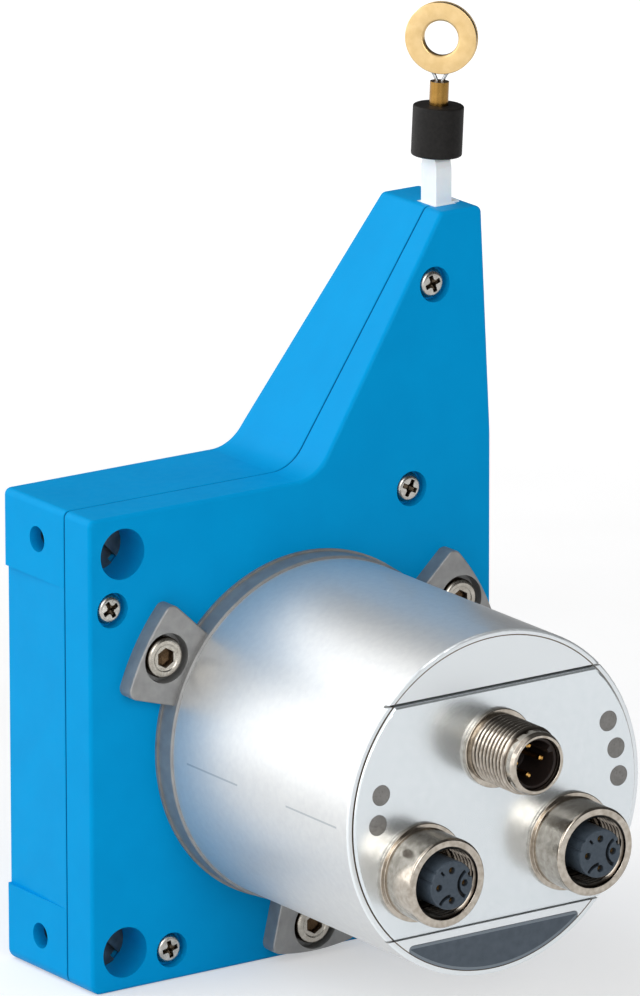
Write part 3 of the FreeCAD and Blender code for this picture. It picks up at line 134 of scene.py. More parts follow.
# Dust and shade darken the groove, which runs 8.35 mm in front of the side holes' line.
tree = moulded_blue.node_tree
depth = add(tree, "SeparateXYZ", {0: add(tree, "TexCoord").outputs["Object"]}).outputs["Y"]
in_groove = add(tree, "Math", {0: depth, 1: SHELL_GROOVE_Y * mm, 2: SHELL_GROOVE_HALF * mm},
                operation="COMPARE").outputs[0]
recolour(moulded_blue, in_groove, "#005A96")
dress(moulded_blue, "front_cover", "rear_shell")

# Housing screws: steel pan heads with a cross recess, cold headed and zinc plated, sunk in round
# recesses of the front shell. Five hold the shells together.
MERGE_WITHIN, SLIVER = 1e-7, 1e-8
SHARP_ANGLE = 40
HEAD_RADIUS, HEAD_HEIGHT, SHANK_RADIUS, SHANK_LENGTH = 2.7, 1.75, 1.2, 14.0
RIM_START, DOME_DROP, FINE_ROWS_TO, COARSE_ROWS_FROM = 1.5, 0.02, 1.9, 1.94
ARM_HALF, ARM_REACH, ARM_DEPTH, ARM_RISE = 0.36, 1.48, 1.3, 0.35
MIDDLE_RADIUS, MIDDLE_DEPTH = 0.65, 1.35
FACE_Y, SEAT_DEPTH = -16.0, 2.2
BEND_Z, TOP_Z, LEAN = 44.4, 84.0, 2.8
SCREW_SPOTS = [(4.6, 25.7, 0.5), (16.3, -36.6, 0.2), (66.3, 37.0, 1.1), (78.5, -37.5, 0.7),
               (72.5, 71.8, 0.35)]


def surface(name, grid, wrap_v=False, sharp=SHARP_ANGLE, closed=True, mark=None):
    """Quads over a grid of points, with the last column joined to the first on request. Doubles
    are merged and a closed surface is turned outwards. mark is kept as an attribute."""
    nu, nv = grid.shape[:2]
    u, v = np.meshgrid(np.arange(nu - 1), np.arange(nv if wrap_v else nv - 1), indexing="ij")
    u, v = u.ravel(), v.ravel()
    u1, v1 = u + 1, (v + 1) % nv
    quads = np.stack([u * nv + v, u1 * nv + v, u1 * nv + v1, u * nv + v1], 1)
    mesh = bpy.data.meshes.new(name)
    mesh.vertices.add(nu * nv)
    mesh.vertices.foreach_set("co", grid.reshape(-1).astype(np.float32))
    mesh.loops.add(quads.size)
    mesh.loops.foreach_set("vertex_index", quads.reshape(-1).astype(np.int32))
    mesh.polygons.add(len(quads))
    mesh.polygons.foreach_set("loop_start", np.arange(0, quads.size, 4, dtype=np.int32))
    mesh.update(calc_edges=True)
    if mark is not None:
        values = np.broadcast_to(mark, (nu, nv)).reshape(-1).astype(np.float32)
        mesh.attributes.new("mark", "FLOAT", "POINT").data.foreach_set("value", values)
    work = bmesh.new()
    work.from_mesh(mesh)
    bmesh.ops.remove_doubles(work, verts=work.verts, dist=MERGE_WITHIN)
    bmesh.ops.dissolve_degenerate(work, edges=work.edges, dist=SLIVER)
    if closed and work.calc_volume(signed=True) < 0:
        bmesh.ops.reverse_faces(work, faces=work.faces)
    work.to_mesh(mesh)
    work.free()
    mesh.shade_smooth()
    mesh.set_sharp_from_angle(angle=math.radians(sharp))
    piece = bpy.data.objects.new(name, mesh)
    bpy.context.scene.collection.objects.link(piece)
    return piece


def joined(name, pieces):
    """One object from several meshes, with edges over 40 degrees kept sharp."""
    work = bmesh.new()
    for piece in pieces:
        work.from_mesh(piece.data)
    mesh = bpy.data.meshes.new(name)
    work.to_mesh(mesh)
    work.free()
    mesh.shade_smooth()
    mesh.set_sharp_from_angle(angle=math.radians(SHARP_ANGLE))
    for piece in pieces:
        bpy.data.objects.remove(piece)
    whole = bpy.data.objects.new(name, mesh)
    bpy.context.scene.collection.objects.link(whole)
    return whole


def fitted(piece, material, slot, body, *nodes):
    """Finishes a new piece: its material, the body it rides on and the nodes it replaces. The slot
    argument is not used.
    """
    piece.data.materials.append(material)
    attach(piece, body)
    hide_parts(*nodes)


def paint_shade(material, code):
    """Lays a painted shade, a second colour, over a material where the mesh's mark attribute is
    high.
    """
    mark = add(material.node_tree, "Attribute", attribute_name="mark").outputs["Fac"]
    recolour(material, mark, code)


def around(steps):
    """One row of angles, a full circle in equal steps without its end."""
    return np.linspace(0, 2 * np.pi, steps, endpoint=False)[None]


def step_down(value, edge, soft):
    """1 below an edge and 0 above it, by smoothstep over a soft width."""
    s = np.clip((edge - value) / soft + 0.5, 0, 1)
    return s * s * (3 - 2 * s)


def cross_head(x, z, turn):
    """Pan head as a height over its seat: a flat dome with a rounded rim, less a cross recess with
    steep walls whose floor rises from the middle to the tips of the arms, and a plain shank."""
    seat = FACE_Y + SEAT_DEPTH + max(0.0, z - BEND_Z) * LEAN / (TOP_Z - BEND_Z)
    r = np.concatenate([np.linspace(0, FINE_ROWS_TO, 54),
                        np.linspace(COARSE_ROWS_FROM, HEAD_RADIUS, 18),
                        [HEAD_RADIUS, SHANK_RADIUS, SHANK_RADIUS, 0]])[:, None]
    t = around(160)
    rim = np.clip((r - RIM_START) / (HEAD_RADIUS - RIM_START), 0, 1)
    top = HEAD_HEIGHT * np.sqrt(1 - rim ** 3.2) - DOME_DROP * r ** 2
    u, v = np.abs(r * np.cos(t - turn)), np.abs(r * np.sin(t - turn))
    arms = np.maximum(step_down(v, ARM_HALF, 0.1) * step_down(u, ARM_REACH, 0.14),
                      step_down(u, ARM_HALF, 0.1) * step_down(v, ARM_REACH, 0.14))
    middle = step_down(np.hypot(u, v), MIDDLE_RADIUS, 0.25) * MIDDLE_DEPTH
    depth = np.maximum(arms * (ARM_DEPTH - ARM_RISE * r), middle)
    h = np.clip(top - depth, 0, None)
    h[-4:-2], h[-2:] = 0, -SHANK_LENGTH
    grid = np.stack([r * np.cos(t) + x, seat - h, r * np.sin(t) + z], -1)
    return surface("head", grid * mm, wrap_v=True, mark=np.clip(depth / 0.5, 0, 1))


# Bright plating with a faint grain, and a grey-brown painted shade at the bottom of the recess.
zinc_steel = finish("zinc_plated_steel", "#A9A6A0", "#C6C4BF", 0.9, 0.25, 0.003, 0.26,
                    Metallic=1.0)
paint_shade(zinc_steel, "#5F5447")
screw_heads = joined("housing_screw_heads", [cross_head(*spot) for spot in SCREW_SPOTS])
fitted(screw_heads, zinc_steel, "bright_steel", "housing", "housing_screws")

# Barrel nuts: free-cutting steel, turned, slotted and given a thin oxide. They lie in the two
# front bores and take the side bolts. The oxide leaves a warm mid grey with turning marks.
dress(finish("oxidised_turned_steel", "#7B756E", "#938D86", 1.4, 0.3, 0.005, 0.36, Metallic=1.0),
      "barrel_nuts")

# Drum and shafts: a moulded acetal drum on a ground steel hub, the rear bearing's two rings, and
# the encoder's shaft with its bearings. They are closed in by the shells and the can.
# Acetal straight from the tool: near black, with a waxy low gloss.
dress(finish("black_acetal", "#1E1F21", "#27282A", 2.0, 0.4, 0.006, 0.4, IOR=1.48), "wire_drum")
# Ground steel: a bright surface with fine lines round the axis, drawn coarse enough to show.
dress(finish("ground_bearing_steel", "#B4B6B9", "#C8CACC", 1.0, 0.3, 0.002, 0.2, (1, 8, 1),
             Metallic=1.0),
      "drum_shaft", "encoder_shaft", "rear_bearing_inner", "rear_bearing_outer",
      "encoder_bearings_inner", "encoder_bearings_outer")

# Spring: a tempered and blued steel strip, wound flat between the arbor and its case. The case
# and its cover plate are pressed from zinc plated sheet.
# Zinc on sheet: pale grey with a faint crystal bloom.
dress(finish("zinc_plated_sheet", "#A3A6AA", "#B9BCC0", 3.0, 0.5, 0.006, 0.35, Metallic=1.0),
      "spring_case", "spring_cover")
# Tempered strip: a dark blue oxide that keeps a metallic gloss.
dress(finish("blued_spring_strip", "#39414F", "#4B5566", 2.0, 0.4, 0.003, 0.28, Metallic=1.0),
      "spiral_spring")

# Wire nozzle: natural white acetal, moulded, clamped by its root in the tower's top. A wool felt
# ring sits in the root and wipes the wire.
# Natural acetal: milky white, with light that enters a little way.
dress(finish("natural_acetal", "#EBF2F6", "#F1F6F9", 2.5, 0.5, 0.003, 0.38, IOR=1.48,
             Specular_IOR_Level=0.3, Subsurface_Weight=0.1, Subsurface_Scale=0.001),
      "wire_nozzle")
# Pressed felt: short grey fibres that catch light at their tips.
dress(finish("wool_felt", "#8A8272", "#A89E8A", 0.3, 0.15, 0.05, 0.95, Sheen_Weight=0.3), "wiper")

# Draw wire: stainless strand of six wires round a core, wound on the drum, up through the nozzle
# into the crimp sleeve, and bent round the eye's groove.
WIRE_X, WIRE_Y, WIRE_RADIUS, STRAND_LAY = 78.0, -6.7, 0.3, 3.0
WIRE_START, NOZZLE_TOP, SLEEVE_FOOT, SLEEVE_TOP = 5.7, 92.2, 98.7, 105.2
LEAN_TURN, EYE_TURN, EYE_Z = math.radians(3.0), math.radians(-47.0), 112.8
LOOP_RADIUS, LEG_SPREAD, LEAVE, RUN_ON = 5.9, 0.35, math.radians(18.0), 0.7
END_IN_SLEEVE, FOOT_IN_SLEEVE = 0.1, 0.3


def leaned(points):
    """The wire end's lean at rest: a turn about the nozzle's tip, in the plane of x and z."""
    x, y, z = np.moveaxis(np.asarray(points, float), -1, 0)
    dx, dz = x - WIRE_X, z - NOZZLE_TOP
    return np.stack([WIRE_X + dx * math.cos(LEAN_TURN) + dz * math.sin(LEAN_TURN), y,
                     NOZZLE_TOP + dz * math.cos(LEAN_TURN) - dx * math.sin(LEAN_TURN)], -1)


def straight_then_leaned(points):
    """Leaves what is below the nozzle's tip upright and leans what is above it."""
    return np.where(points[..., 2:] > NOZZLE_TOP, leaned(points), points)


def faced(points):
    """Points given across, through and up the eye, turned about the wire's line and leaned."""
    x, y, z = np.moveaxis(np.asarray(points, float), -1, 0)
    c, s = math.cos(EYE_TURN), math.sin(EYE_TURN)
    return leaned(np.stack([WIRE_X + x * c - y * s, WIRE_Y + x * s + y * c, z], -1))


def strand(name, path, place):
    """Tube along a path in the plane of x and z, put in place by a function: radius = wire radius
    * (0.84 + 0.16 * |cos(3 * (angle - twist))|), where the twist is one turn in a lay, so that six
    round wires lie side by side."""
    across = np.array([0, 1.0, 0])
    along = np.gradient(path, axis=0)
    along /= np.linalg.norm(along, axis=1)[:, None]
    side = np.cross(along, across)
    steps = np.linalg.norm(np.diff(path, axis=0), axis=1)
    run = np.concatenate([[0], np.cumsum(steps)])[:, None]
    turn = around(30)
    r = WIRE_RADIUS * (0.84 + 0.16 * np.abs(np.cos(3 * (turn - run * 2 * np.pi / STRAND_LAY))))
    r[0], r[-1] = 0, 0
    points = (path[:, None] + (r * np.cos(turn))[..., None] * side[:, None]
              + (r * np.sin(turn))[..., None] * across)
    return surface(name, place(points) * mm, wrap_v=True, sharp=80)


# Bare strand: grey steel with a dark line between the wires.
bright_strand = finish("stranded_stainless", "#8C8F92", "#B4B7BA", 0.4, 0.12, 0.004, 0.32,
                       Metallic=1.0)
heights = np.linspace(WIRE_START, SLEEVE_TOP - END_IN_SLEEVE, 520)
line = np.stack([0 * heights + WIRE_X, 0 * heights + WIRE_Y, heights], -1)
drawn = strand("draw_wire_strand", line, straight_then_leaned)
drawn.data.materials.append(bright_strand)
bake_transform(drawn)
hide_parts("draw_wire")

# The loop follows the groove to 18 degrees from its foot. From there each leg is a quadratic
# curve, (1 - t)^2 * leave + 2 * t * (1 - t) * bend + t^2 * foot, down into the sleeve.
sweep = np.linspace(0, math.pi - LEAVE, 76)
arc = np.stack([LOOP_RADIUS * np.sin(sweep), 0 * sweep, EYE_Z + LOOP_RADIUS * np.cos(sweep)], -1)
bend = arc[-1] - RUN_ON * np.array([math.cos(LEAVE), 0, math.sin(LEAVE)])
foot = np.array([LEG_SPREAD, 0, SLEEVE_TOP - FOOT_IN_SLEEVE])
t = np.linspace(0, 1, 24)[1:, None]
half = np.concatenate([arc, arc[-1] * (1 - t) ** 2 + 2 * bend * t * (1 - t) + foot * t ** 2])
path = np.concatenate([half[:0:-1] * (-1, 1, 1), half])
loop = strand("wire_loop_strand", path, faced)
fitted(loop, bright_strand, "wire_steel", "wire_end", "wire_loop")
dress(bright_strand, "wire_winding")

# Rubber stopper: moulded nitrile buffer that meets the nozzle when the wire is home. The can's
# O-ring is the same rubber.
# Matt rubber: charcoal, with a fine eroded grain from the mould.
dress(finish("moulded_nitrile_rubber", "#1A1918", "#232120", 0.6, 0.2, 0.012, 0.55, IOR=1.5,
             Specular_IOR_Level=0.15),
      "stopper", "can_seal")

# Crimp sleeve: a short drawn brass tube, pressed over the wire and the two legs of its loop.
# The brass has dulled to a brown gold.
dress(finish("dulled_drawn_brass", "#8A6731", "#98753D", 2.0, 0.2, 0.002, 0.24, Metallic=1.0),
      "crimp_sleeve")

# Eye: pressed brass thimble ring, tumbled, so its edges are round. Its rim is a groove in which
# the wire's loop lies.
EYE_RADIUS, EYE_HOLE, EYE_HALF, GROOVE_HALF, GROOVE_FLOOR = 6.25, 3.0, 0.8, 0.45, 5.55
HOLE_ROUND, EDGE_ROUND, GROOVE_ROUND, FLOOR_ROUND = 0.45, 0.14, 0.08, 0.2


def rounded(corners, radii, steps=5):
    """Outline whose inner corners are tangent arcs: reach = radius / tan(half the angle)."""
    corners = np.array(corners, float)
    out = [corners[:1]]
    for i in range(1, len(corners) - 1):
        here, radius = corners[i], radii[i]
        if radius == 0:
            out.append(here[None])
            continue
        a, b = corners[i - 1] - here, corners[i + 1] - here
        a, b = a / np.linalg.norm(a), b / np.linalg.norm(b)
        half = math.acos(np.clip(a @ b, -1, 1)) / 2
        bisector = (a + b) / np.linalg.norm(a + b)
        centre = here + bisector * radius / math.sin(half)
        start, end = here + a * radius / math.tan(half), here + b * radius / math.tan(half)
        t = np.linspace(0, 1, steps)[:, None]
        arm = (start - centre) * (1 - t) + (end - centre) * t
        out.append(centre + arm / np.linalg.norm(arm, axis=1)[:, None] * radius)
    out.append(corners[-1:])
    return np.concatenate(out)


def turned(profile, steps, shape=None):
    """Points of a surface of revolution about Y: profile of (radius, y) in mm, its radius changed
    by shape(radius, y, turn) where one is given."""
    profile = np.asarray(profile, float)
    turn = around(steps)
    r, y = profile[:, :1] + 0 * turn, profile[:, 1:] + 0 * turn
    if shape:
        r = shape(r, y, turn)
    return np.stack([r * np.cos(turn), y, r * np.sin(turn)], -1)


front_half = [(EYE_HOLE, 0), (EYE_HOLE, -EYE_HALF), (EYE_RADIUS, -EYE_HALF),
              (EYE_RADIUS, -GROOVE_HALF), (GROOVE_FLOOR, -GROOVE_HALF)]
back_half = [(r, -y) for r, y in front_half[::-1]]
rounds = [0, HOLE_ROUND, EDGE_ROUND, GROOVE_ROUND, FLOOR_ROUND]
ring = turned(rounded(front_half + back_half, rounds + rounds[::-1], 7), 120)
eye = surface("eye_thimble", faced(ring + np.array([0, 0, EYE_Z])) * mm, wrap_v=True)
# Tumbled brass: pale gold with a soft, slightly pitted shine.
tumbled_brass = finish("tumbled_brass", "#CCAE7A", "#D8BB89", 1.6, 0.14, 0.004, 0.32,
                       Metallic=1.0)
fitted(eye, tumbled_brass, "yellow_brass", "wire_end", "eye_ring")

# Mounting collar and encoder flange: die-cast aluminium. The collar's three lugs are left as
# cast, which gives a dull grey grain.
dress(finish("die_cast_aluminium", "#8C8C8C", "#9C9C9B", 2.4, 0.3, 0.005, 0.45, Metallic=0.45),
      "mounting_collar", "encoder_flange")

# Collar screws: stainless low heads with a hexagon socket, cold headed, sunk in the lugs'
# counterbores. A painted shade darkens the socket and the gap round the head.
AXIS_X, AXIS_Z, BOLT_CIRCLE, CAP_SEAT = 43.8, -1.0, 35.2, -17.0
CAP_RADIUS, CAP_HEIGHT, CAP_ROUND, STEM_RADIUS, STEM_LENGTH = 3.6, 2.2, 0.75, 2.0, 4.3
SOCKET_HALF, SOCKET_DEPTH, CONE_RADIUS, CONE_DEPTH = 1.5, 1.1, 1.3, 0.25
DISH_RADIUS, DISH_DEPTH, GAP_SHADE_START = 2.35, 0.14, 3.35
LUG_TURNS = (30.0, 150.0, 270.0)


def socket_head(degrees):
    """Low head as a height over its seat: flat with a wide round rim and a shallow dish inside a
    ring, less a hexagon 3 mm across flats with steep walls and a drill cone, and a plain shank."""
    at = math.radians(degrees)
    r = np.concatenate([np.linspace(0, 1.95, 54), np.linspace(2.0, CAP_RADIUS, 34),
                        [CAP_RADIUS, STEM_RADIUS, STEM_RADIUS, 0]])[:, None]
    t = around(180)
    rim = np.clip((r - (CAP_RADIUS - CAP_ROUND)) / CAP_ROUND, 0, 1)
    top = (CAP_HEIGHT - CAP_ROUND * (1 - np.sqrt(1 - rim ** 2))
           - DISH_DEPTH * step_down(r, DISH_RADIUS, 0.3))
    flats = [np.cos(t - at - math.radians(60 * k + 30)) for k in range(6)]
    across = np.max(flats, axis=0) * r
    hexagon = step_down(across, SOCKET_HALF, 0.12)
    cone = CONE_DEPTH * np.clip(1 - across / CONE_RADIUS, 0, 1)
    h = top - hexagon * (SOCKET_DEPTH + cone)
    # Painted shade: marks the socket and the head's outer rim, beside the gap.
    dark = np.maximum(hexagon, np.clip((r - GAP_SHADE_START) / 0.2, 0, 1))
    h[-4:-2], h[-2:], dark[-4:] = 0, -STEM_LENGTH, 1
    x, z = AXIS_X + BOLT_CIRCLE * math.cos(at), AXIS_Z + BOLT_CIRCLE * math.sin(at)
    grid = np.stack([x + r * np.cos(t), CAP_SEAT - h, z + r * np.sin(t)], -1)
    return surface("cap", grid * mm, wrap_v=True, mark=dark)


# The head is smooth and bright, with a brown painted shade that fills the socket.
stainless_head = finish("cold_headed_stainless", "#A39D93", "#BDB8AF", 1.2, 0.14, 0.002, 0.28,
                        Metallic=1.0)
paint_shade(stainless_head, "#51402F")
caps = joined("collar_socket_screws", [socket_head(degrees) for degrees in LUG_TURNS])
fitted(caps, stainless_head, "bright_steel", "housing", "collar_screws")

# Encoder can and connector plate: deep drawn steel, blasted and nickel plated, which leaves a
# fine satin grain that scatters light. The can has two scribed dashes on its left line, and a
# painted shade darkens the seam where the plate sits inside its rim.
SEAM_RADIUS, SEAM_HALF, END_FACE_Y = 28.97, 0.1, -71.6
DASH_Z, DASH_HALF, DASH_SIDE_X = -0.8, 0.16, 16
DASHES = ((-39.6, -24.5), (-68.7, -53.9))


def from_axis(tree):
    """Each point's offset from the encoder's axis, flattened onto x and z, and its length."""
    place = add(tree, "TexCoord").outputs["Object"]
    centred = add(tree, "VectorMath", {0: place, 1: (AXIS_X * mm, 0, AXIS_Z * mm)},
                  operation="SUBTRACT")
    flat = add(tree, "VectorMath", {0: centred.outputs[0], 1: (1, 0, 1)},
               operation="MULTIPLY").outputs[0]
    return flat, add(tree, "VectorMath", {0: flat}, operation="LENGTH").outputs["Value"]


def seam(material):
    """Paints shade: darkens a band 0.2 mm wide at the seam's radius from the encoder's axis."""
    tree = material.node_tree
    band = add(tree, "Math", {0: from_axis(tree)[1], 1: SEAM_RADIUS * mm, 2: SEAM_HALF * mm},
               operation="COMPARE").outputs[0]
    recolour(material, band, "#6E6154")


satin_nickel = finish("blasted_satin_nickel", "#D4D5D5", "#DADBDA", 1.2, 0.14, 0.0016, 0.4,
                      Metallic=0.66)
tree = satin_nickel.node_tree
spot = add(tree, "SeparateXYZ", {0: add(tree, "TexCoord").outputs["Object"]})
# Painted light: the can's rim face, round the plate, is coloured paler than its side.
painted_light_rim = add(tree, "Math", {0: spot.outputs["Y"], 1: END_FACE_Y * mm},
               operation="LESS_THAN").outputs[0]
recolour(satin_nickel, painted_light_rim, "#EDF2F5")
# Scribed dashes: slightly darker, on one line along the can's left side only.
level = add(tree, "Math", {0: spot.outputs["Z"], 1: DASH_Z * mm, 2: DASH_HALF * mm},
            operation="COMPARE").outputs[0]
left = add(tree, "Math", {0: spot.outputs["X"], 1: DASH_SIDE_X * mm},
           operation="LESS_THAN").outputs[0]
on_line = add(tree, "Math", {0: level, 1: left}, operation="MULTIPLY").outputs[0]
for start, end in DASHES:
    within = add(tree, "Math", {0: spot.outputs["Y"], 1: (start + end) / 2 * mm,
                                2: (end - start) / 2 * mm}, operation="COMPARE").outputs[0]
    dash = add(tree, "Math", {0: on_line, 1: within}, operation="MULTIPLY").outputs[0]
    recolour(satin_nickel, dash, "#B2B7BA")
seam(satin_nickel)
dress(satin_nickel, "encoder_can")
# The plate is ground before plating, so it is smoother and mirrors the connectors a little.
plate_nickel = finish("ground_satin_nickel", "#E0E7EB", "#E4EAEE", 1.2, 0.14, 0.0005, 0.24,
                      Metallic=0.8)
seam(plate_nickel)
dress(plate_nickel, "connector_plate")

# Label panel: a bare slate coloured polyester foil, let into the can's lower segment. Its edge
# carries a painted highlight, paler along the arc and along the chord.
PANEL_RADIUS, PANEL_CHORD, PANEL_EDGE = 29.0, 22.0, 0.6
# Foil over metal: a smooth dark slate with a soft sheen.
slate_foil = finish("slate_polyester_foil", "#4A545E", "#525C67", 1.5, 0.25, 0.003, 0.42,
                    IOR=1.5, Specular_IOR_Level=0.3)
tree = slate_foil.node_tree
flat, reach = from_axis(tree)
height = add(tree, "SeparateXYZ", {0: flat}).outputs["Z"]
# Painted highlight: a paler band along the panel's arc and along its chord.
outer = add(tree, "Math", {0: reach, 1: (PANEL_RADIUS - PANEL_EDGE) * mm},
            operation="GREATER_THAN").outputs[0]
upper = add(tree, "Math", {0: height, 1: -(PANEL_CHORD + PANEL_EDGE) * mm},
            operation="GREATER_THAN").outputs[0]
edge = add(tree, "Math", {0: outer, 1: upper}, operation="MAXIMUM").outputs[0]
recolour(slate_foil, edge, "#7A848D")
dress(slate_foil, "label_panel")

# Signal lamps: five light guides of smoked polycarbonate, moulded and pressed in flush with the
# plate. Unlit they look grey, under a clear gloss.
dress(finish("smoked_polycarbonate", "#6E6C69", "#7C7A77", 0.8, 0.3, 0.003, 0.3, IOR=1.58,
             Coat_Weight=0.2),
      "signal_lamps")

# Power connector: nickel plated brass nipple with a cut M12 thread, a thin lip and a plain neck,
# screwed into the plate over a base ring.
POWER_X, POWER_Z = 43.8, 8.9
STEM_END, PLATE_FRONT, BASE_TOP, BASE_RADIUS, NECK_RADIUS = -67.4, -72.4, -73.3, 6.85, 5.6
NIPPLE_BORE, LIP_MOUTH, LIP_RADIUS, THREAD_RADIUS = 4.5, 5.05, 5.45, 6.0
POWER_TIP, LIP_BACK, THREAD_TOP, THREAD_FOOT, THREAD_DEPTH = -84.6, -83.9, -82.5, -73.7, 0.61
ROWS_A_MM, THREAD_STEPS = 14, 128


def thread_cut(y, turn):
    """Share of the thread's depth at a place: a triangle of y / pitch + turn / full circle, pitch
    1 mm and right-handed, clipped to a crest of an eighth and a root of a quarter of the pitch."""
    wave = 2 * np.abs((y + turn / (2 * np.pi)) % 1 - 0.5)
    return np.clip((wave - 0.125) / 0.625, 0, 1)


def outside_thread(r, y, turn):
    """Cuts the thread into the radius between the neck and the base ring, with a run-out."""
    depth = THREAD_DEPTH * thread_cut(y, turn) * np.clip((THREAD_FOOT - y) / 0.6, 0, 1)
    outside = (y > THREAD_TOP - 0.1) & (r > LIP_RADIUS - 0.15) & (r < THREAD_RADIUS + 0.1)
    return np.where(outside, np.minimum(r, THREAD_RADIUS - depth), r)


lip = rounded([(NIPPLE_BORE, STEM_END), (NIPPLE_BORE, POWER_TIP), (LIP_MOUTH, POWER_TIP),
               (LIP_RADIUS, LIP_BACK), (LIP_RADIUS, THREAD_TOP)], [0, 0.14, 0.25, 0.3, 0])
rows = np.arange(THREAD_TOP, THREAD_FOOT + 0.05, 1 / ROWS_A_MM)
threaded = np.stack([np.minimum(LIP_RADIUS + rows - THREAD_TOP, THREAD_RADIUS), rows], 1)
base = rounded([(THREAD_RADIUS, BASE_TOP - 0.2), (THREAD_RADIUS, BASE_TOP),
                (BASE_RADIUS, BASE_TOP), (BASE_RADIUS, PLATE_FRONT), (NECK_RADIUS, PLATE_FRONT),
                (NECK_RADIUS, STEM_END), (NIPPLE_BORE, STEM_END)], [0, 0, 0.15, 0.05, 0, 0, 0])
nipple = turned(np.concatenate([lip[:-1], threaded, base]), THREAD_STEPS, outside_thread)
y, r = nipple[..., 1], np.hypot(nipple[..., 0], nipple[..., 2])
on_thread = (y > THREAD_TOP + 0.1) & (y < THREAD_FOOT) & (r > 5)
roots = thread_cut(y, around(THREAD_STEPS)) * on_thread
power = surface("power_nipple", (nipple + np.array([POWER_X, 0, POWER_Z])) * mm, wrap_v=True,
                sharp=35, mark=roots)
# Nickel over brass, a little tarnished: warm grey, glossy on the crests, with a painted shade in
# the roots of the thread. The spacers inside the can have the same plating.
plated_brass = finish("nickel_plated_brass", "#A69D91", "#C4BCB1", 1.0, 0.14, 0.001, 0.17,
                      Metallic=1.0)
paint_shade(plated_brass, "#3E342B")
fitted(power, plated_brass, "nickel_brass", "housing", "power_shell")
dress(plated_brass, "board_posts")

# Power insert: glass-filled nylon cup that lines the nipple, with its coding rib, round four
# turned pins with hard gold plating.
CUP_FLOOR, CUP_RIM, CUP_BORE, CUP_RADIUS = -75.4, -83.5, 3.9, 4.4
RIB_TURN, RIB_HALF, RIB_HEIGHT = 30.0, 7.5, 0.8


def coding_rib(r, y, turn):
    """Brings the cup's inner wall 0.8 mm inwards over a rib 1 mm wide at 30 degrees."""
    rib = step_down(np.abs(np.rad2deg(turn) - RIB_TURN), RIB_HALF, 2.0)
    inner = (r < CUP_BORE + 0.2) & (r > 3.0) & (y < CUP_FLOOR)
    return np.where(inner, r - RIB_HEIGHT * rib, r)


cup = rounded([(0, CUP_FLOOR), (CUP_BORE, CUP_FLOOR), (CUP_BORE, CUP_RIM), (CUP_RADIUS, CUP_RIM),
               (CUP_RADIUS, STEM_END), (0, STEM_END)], [0, 0.15, 0.15, 0.1, 0, 0])
lining = turned(cup, 240, coding_rib) + np.array([POWER_X, 0, POWER_Z])
insert = surface("power_insert_cup", lining * mm, wrap_v=True)
# Moulded with glass fibre: dark slate with a dull, slightly rough skin.
insert_slate = finish("glass_filled_nylon", "#1F1917", "#2A211E", 0.6, 0.2, 0.005, 0.5, IOR=1.5,
                      Specular_IOR_Level=0.3)
fitted(insert, insert_slate, "dark_insert", "housing", "power_insert")
# Hard gold: deep yellow and glossy.
dress(finish("hard_gold_plate", "#C4924A", "#D9AC66", 0.5, 0.2, 0.002, 0.22, Metallic=1.0),
      "power_pins", "data_contacts")

# Data connectors: two nickel plated brass sockets with a cut inside thread and a rounded lip,
# screwed into the plate over a base ring.
DATA_SPOTS = [(28.2, -10.1), (58.7, -10.1)]
DATA_TIP, MOUTH_Y, BORE_FOOT, BORE_FLOOR, COLLAR_Y = -80.3, -79.85, -73.6, -73.4, -73.2
BORE_RADIUS, MOUTH_RADIUS, SOCKET_RADIUS, COLLAR_RADIUS = 5.78, 6.35, 7.75, 8.55
INSERT_BORE, INSIDE_DEPTH = 4.25, 0.55


def inside_thread(r, y, turn):
    """Cuts the thread outwards into the bore, with a run-in at the mouth and a run-out below."""
    ends = np.clip((y - DATA_TIP) / 0.5, 0, 1), np.clip((-73.9 - y) / 0.4, 0, 1)
    depth = INSIDE_DEPTH * thread_cut(y, turn) * ends[0] * ends[1]
    return np.where((r > NECK_RADIUS) & (r < THREAD_RADIUS), r + depth, r)


floor_ring = np.array([(INSERT_BORE, STEM_END), (INSERT_BORE, BORE_FLOOR),
                       (BORE_RADIUS, BORE_FLOOR)])
rows = np.arange(BORE_FOOT, MOUTH_Y, -1 / ROWS_A_MM)
bore = np.stack([np.full_like(rows, BORE_RADIUS), rows], 1)
mouth = rounded([(BORE_RADIUS, MOUTH_Y), (MOUTH_RADIUS, DATA_TIP), (SOCKET_RADIUS, DATA_TIP),
                 (SOCKET_RADIUS, COLLAR_Y), (COLLAR_RADIUS, COLLAR_Y),
                 (COLLAR_RADIUS, PLATE_FRONT), (NECK_RADIUS, PLATE_FRONT),
                 (NECK_RADIUS, STEM_END), (INSERT_BORE, STEM_END)],
                [0, 0.15, 0.45, 0.1, 0.15, 0.05, 0, 0, 0])
socket = turned(np.concatenate([floor_ring, bore, mouth]), THREAD_STEPS, inside_thread)
y, r = socket[..., 1], np.hypot(socket[..., 0], socket[..., 2])
# Painted shade: the bore is marked a quarter dark all over, and darker in the thread's roots.
in_bore = (r < MOUTH_RADIUS - 0.01) & (r > 4.3) & (y > MOUTH_Y - 0.05) & (y < -73.3)
roots = np.clip(0.25 + thread_cut(y, around(THREAD_STEPS)), 0, 1) * in_bore
sockets = joined("data_sockets", [
    surface("socket", (socket + np.array([x, 0, z])) * mm, wrap_v=True, mark=roots)
    for x, z in DATA_SPOTS])
fitted(sockets, plated_brass, "nickel_brass", "housing", "data_shells")

# Data inserts: moulded nylon plugs that stand 1.4 mm out of the sockets, with four contact holes,
# two curved moats, a latch slit and grooves down the side.
INSERT_FACE, INSERT_RADIUS = -81.7, 4.2
CONTACT_REACH, CONTACT_RADIUS, CONTACT_DEPTH = 2.6, 0.56, 2.5
# Grooves down the side: angle, half width in degrees, depth.
SIDE_GROOVES = ((20.0, 7.0, 0.6), (140.0, 2.5, 0.18), (165.0, 2.5, 0.18))
